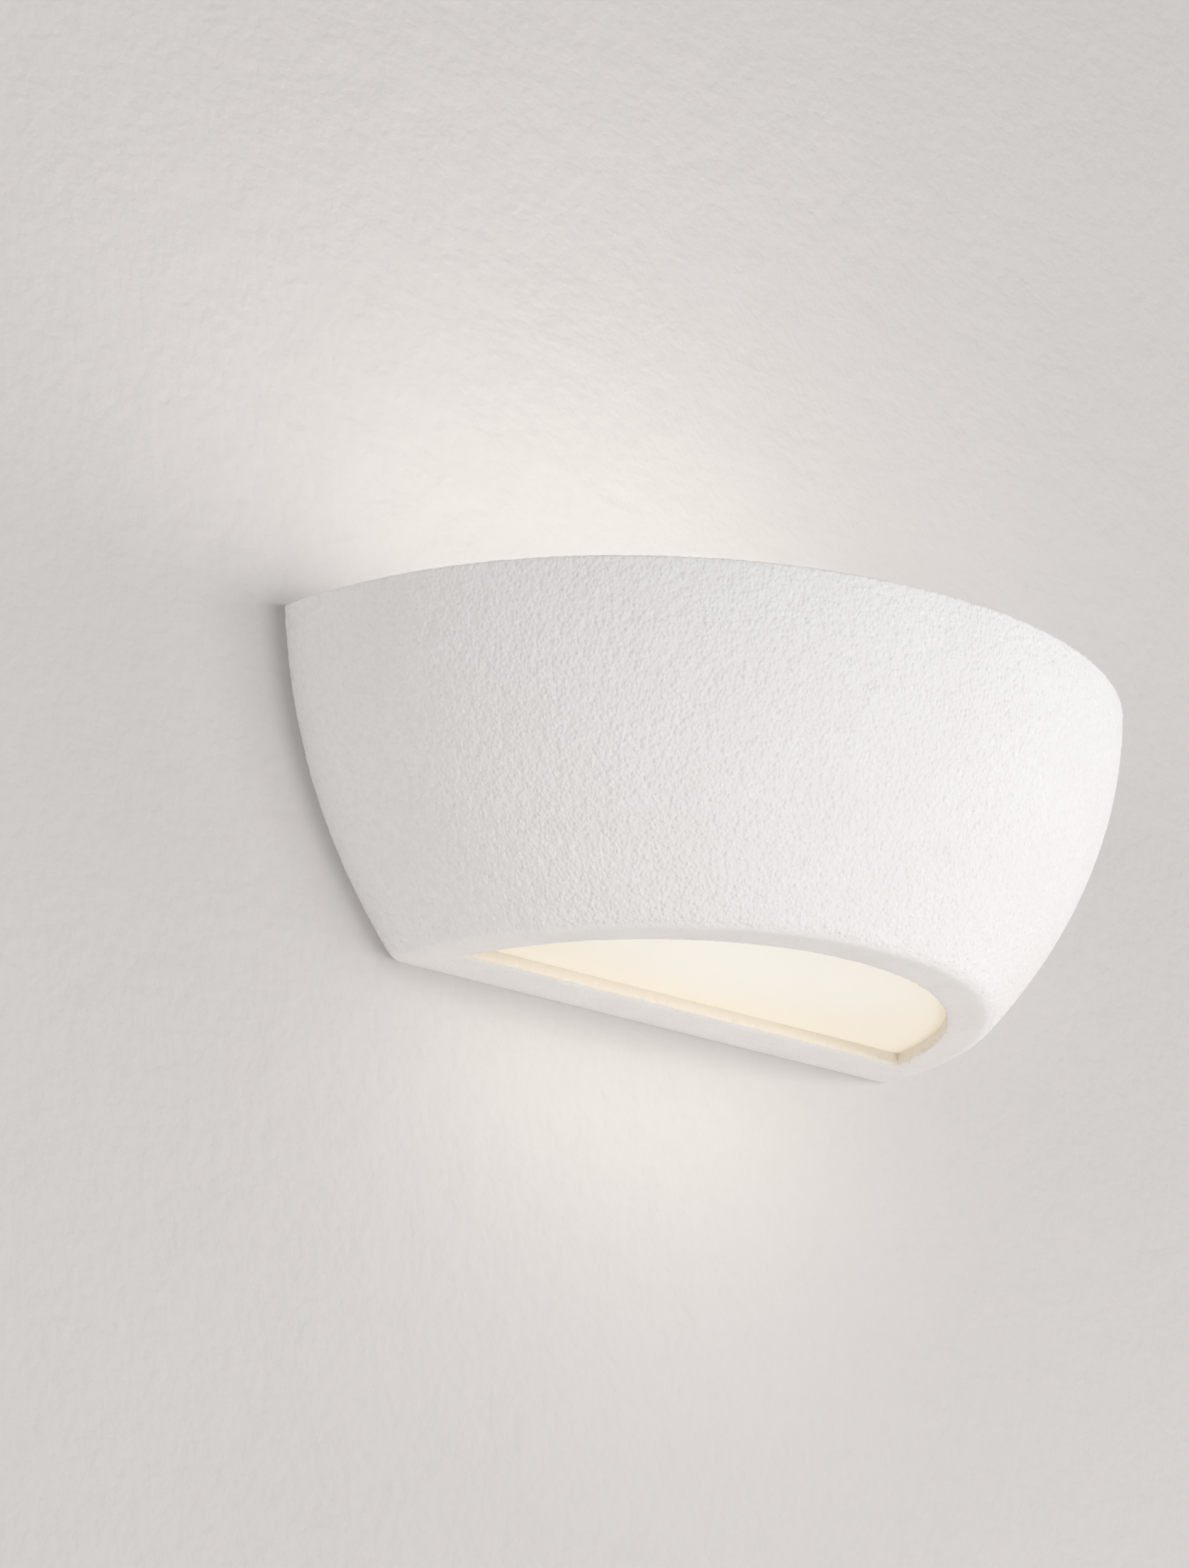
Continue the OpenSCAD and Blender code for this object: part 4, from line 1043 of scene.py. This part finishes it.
def build_thumbscrew(side, tones, brass):
    """Fluted head with a dished face and turned chamfers, a neck, and a shank with its thread."""
    name = "thumbscrew_" + side
    low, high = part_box(name)
    centre, radius = middle(name), (high.x - low.x) / 2
    def place(along, across, up):
        return centre.x + across, along, centre.z + up
    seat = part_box("washer_" + side)[0].y
    back, neck = seat - tones.neck_height, tones.neck / 2
    dished, dish, neck_edge = radius * 0.62, 0.5 * MM, 0.2 * MM
    # The head's edge, the same in front and at the back: distance from its face, and radius
    edge = [(0.0, radius - 1.3 * MM), (0.3 * MM, radius - 0.8 * MM),
            (0.9 * MM, fluted(radius, tones.flutes, tones.flute))]
    head = [(low.y + dish, dished * 0.1), (low.y + dish, dished), (low.y, dished + dish)]
    head += [(low.y + step, reach) for step, reach in edge]
    head += [(back - step, reach) for step, reach in reversed(edge)]
    head += [(back, neck), (seat - neck_edge, neck), (seat, neck - neck_edge), (seat, tones.shank / 2)]
    core, pitch = tones.shank / 2, tones.thread_pitch
    depth = 0.45 * pitch
    def thread(along):
        def at(angle):
            turn = (along / pitch - angle / ROUND) % 1
            return core - depth * abs(2 * turn - 1) * smooth_step((high.y - along) / pitch)
        return at
    plain, step, tip = seat + 4 * MM, pitch / THREAD_STEPS, 0.5 * MM
    rings = int((high.y - tip - plain) / step)
    shank = [(seat - 1 * MM, core), (plain, core)]
    shank += [(plain + i * step, thread(plain + i * step)) for i in range(1, rings + 1)]
    shank += [(high.y, core - depth - 0.3 * MM)]
    parts = [turned(head, tones.flutes * FLUTE_STEPS, place), turned(shank, SHANK_SIDES, place)]
    make_piece(name + "_turned", *join_parts(parts), name, name, "knurled_brass", brass,
               sharp=SCREW_SHARP)


# ---- Lamp filament ----

# Steps of one turn and sides of the wire, its radius, and the loops, in degrees round the coil
COIL_STEPS = 12
WIRE_SIDES = 6
WIRE = 0.16 * MM
LOOPS = 5
LOOP_TURN, LOOP_STEP = 330, 15


def build_filament(tones):
    """Coiled wire in the quartz tube, held in its middle by five wire loops."""
    low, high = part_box("lamp_filament")
    centre, span = middle("lamp_filament"), high.x - low.x
    coil_radius, loop = tones.coil / 2 - WIRE, (high.z - low.z) / 2 - 0.2 * MM
    count = tones.coils * COIL_STEPS
    coil = []
    for i in range(count + 1):
        angle = ROUND * i / COIL_STEPS
        coil.append(Vector((low.x + span * i / count, centre.y + coil_radius * math.cos(angle),
                            centre.z + coil_radius * math.sin(angle))))
    parts = [swept(coil, WIRE_SIDES, WIRE)]
    for k in range(LOOPS):
        x = (k - LOOPS // 2) * span / LOOPS
        hook = [Vector((x, centre.y, centre.z - coil_radius)),
                Vector((x, centre.y, centre.z - loop * 0.6))]
        for bend in range(0, LOOP_TURN + 1, LOOP_STEP):
            angle = math.radians(bend)
            hook.append(Vector((x, centre.y + loop * math.sin(angle),
                                centre.z - loop * math.cos(angle))))
        parts.append(swept(hook, WIRE_SIDES, WIRE))
    make_piece("coiled_filament", *join_parts(parts), "lamp", "lamp_filament", "tungsten",
               filament_finish(tones.tungsten))


# ---- Leads ----

# Points of each lead's route in millimetres, from its pole in the terminal block
LEADS = {
    "live_lead": [(47, -8.6, -2), (47, -8.6, 4), (46, -8.6, 12), (43, -7.5, 21), (36, -6.5, 26),
                  (24, -6.5, 26), (0, -6.5, 26), (-24, -6.5, 26), (-40, -6.5, 26), (-56.2, -7.5, 25),
                  (-66.2, -12.5, 22), (-68.2, -22.5, 17), (-68.2, -44, 15), (-68.2, -58, 15),
                  (-68.2, -66.2, 15)],
    "neutral_lead": [(56, -8.6, -2), (56, -8.6, 4), (57, -10.6, 12), (62, -15.6, 20),
                     (67.2, -24.6, 18), (68.2, -44, 15), (68.2, -58, 15), (68.2, -66.2, 15)],
    "earth_lead": [(65, -8.6, -2), (65, -8.6, 4), (67, -8.6, 6.5), (73, -7.6, 6), (78, -6.6, 1),
                   (79, -4.4, 2), (79, -4.1, -2)],
}


# Steps between two points of a route, sides of the sleeve, and its braid: strands of each
# set, the length of one turn and the depth between the strands
ROUTE_STEPS = 24
SLEEVE_SIDES = 24
STRANDS = 6
LAY = 3.2 * MM
BRAID_DEPTH = 0.16 * MM


def build_lead(name, tones, material, slot):
    """Sleeved lead with two crossing sets of braided strands."""
    path = smooth_route([Vector(spot) * MM for spot in LEADS[name]], ROUTE_STEPS)
    heights, stripes = [], []
    def braid(angle, run):
        turn = ROUND * run / LAY
        over = abs(math.sin((STRANDS * angle + turn) / 2))
        under = abs(math.sin((STRANDS * angle - turn) / 2))
        heights.append(max(over, under))
        stripes.append(0.5 + 0.5 * math.sin(2 * angle + turn / 3))
        return tones.lead / 2 - BRAID_DEPTH * (1 - heights[-1])
    points, faces = swept(path, SLEEVE_SIDES, braid)
    mesh = make_piece(name + "_braid", points, faces, "wall_fixing", name, slot, material)
    mark_points(mesh, {"height": heights, "stripe": stripes})


# ---- Operators ----

class UPLIGHTER_OT_bowl(bpy.types.Operator):
    """Cast the half bowl with its pebbled relief and its window"""
    bl_idname = "uplighter.bowl"
    bl_label = "Bowl"

    def execute(self, context):
        build_bowl(context.scene.uplighter_bowl)
        return {"FINISHED"}


class UPLIGHTER_OT_pane(bpy.types.Operator):
    """Lay the frosted pane in the window"""
    bl_idname = "uplighter.pane"
    bl_label = "Frosted pane"

    def execute(self, context):
        build_pane(context.scene.uplighter_pane, context.scene.uplighter_bowl)
        return {"FINISHED"}


class UPLIGHTER_OT_hardware(bpy.types.Operator):
    """Finish the bar, the cradle, the holders and the small hardware"""
    bl_idname = "uplighter.hardware"
    bl_label = "Hardware"

    def execute(self, context):
        build_hardware(context.scene.uplighter_bowl, context.scene.uplighter_hardware)
        return {"FINISHED"}


class UPLIGHTER_OT_stage(bpy.types.Operator):
    """Set up the wall, the floor, the studio lamps and the camera"""
    bl_idname = "uplighter.stage"
    bl_label = "Stage"

    def execute(self, context):
        context.scene.view_settings.view_transform = "Standard"
        place_camera(context.scene.uplighter_stage)
        build_stage(context.scene.uplighter_stage)
        return {"FINISHED"}


class UPLIGHTER_PT_panel(bpy.types.Panel):
    """Lists the pieces of the light"""
    bl_idname = "UPLIGHTER_PT_panel"
    bl_label = "Uplighter"
    bl_space_type = "VIEW_3D"
    bl_region_type = "UI"
    bl_category = "Uplighter"

    def draw(self, context):
        for operator in OPERATORS:
            self.layout.operator(operator.bl_idname)
        for name in SETTINGS:
            box = self.layout.box()
            group = getattr(context.scene, name)
            for key in group.bl_rna.properties.keys():
                if key not in {"rna_type", "name"}:
                    box.prop(group, key)


SETTINGS = {"uplighter_bowl": BowlSettings, "uplighter_pane": PaneSettings,
            "uplighter_hardware": HardwareSettings, "uplighter_stage": StageSettings}
OPERATORS = [UPLIGHTER_OT_stage, UPLIGHTER_OT_bowl, UPLIGHTER_OT_pane, UPLIGHTER_OT_hardware]


def register():
    for name, group in SETTINGS.items():
        bpy.utils.register_class(group)
        setattr(bpy.types.Scene, name, PointerProperty(type=group))
    for operator in OPERATORS:
        bpy.utils.register_class(operator)
    bpy.utils.register_class(UPLIGHTER_PT_panel)


def unregister():
    bpy.utils.unregister_class(UPLIGHTER_PT_panel)
    for operator in reversed(OPERATORS):
        bpy.utils.unregister_class(operator)
    for name, group in SETTINGS.items():
        delattr(bpy.types.Scene, name)
        bpy.utils.unregister_class(group)


def main():
    register()
    for operator in OPERATORS:
        group, action = operator.bl_idname.split(".")
        getattr(getattr(bpy.ops, group), action)()
    boxes = {"cad": CAD_BOX, "visual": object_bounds()}
    plain = {name: [list(corner) for corner in corners] for name, corners in boxes.items()}


if __name__ == "__main__":
    main()
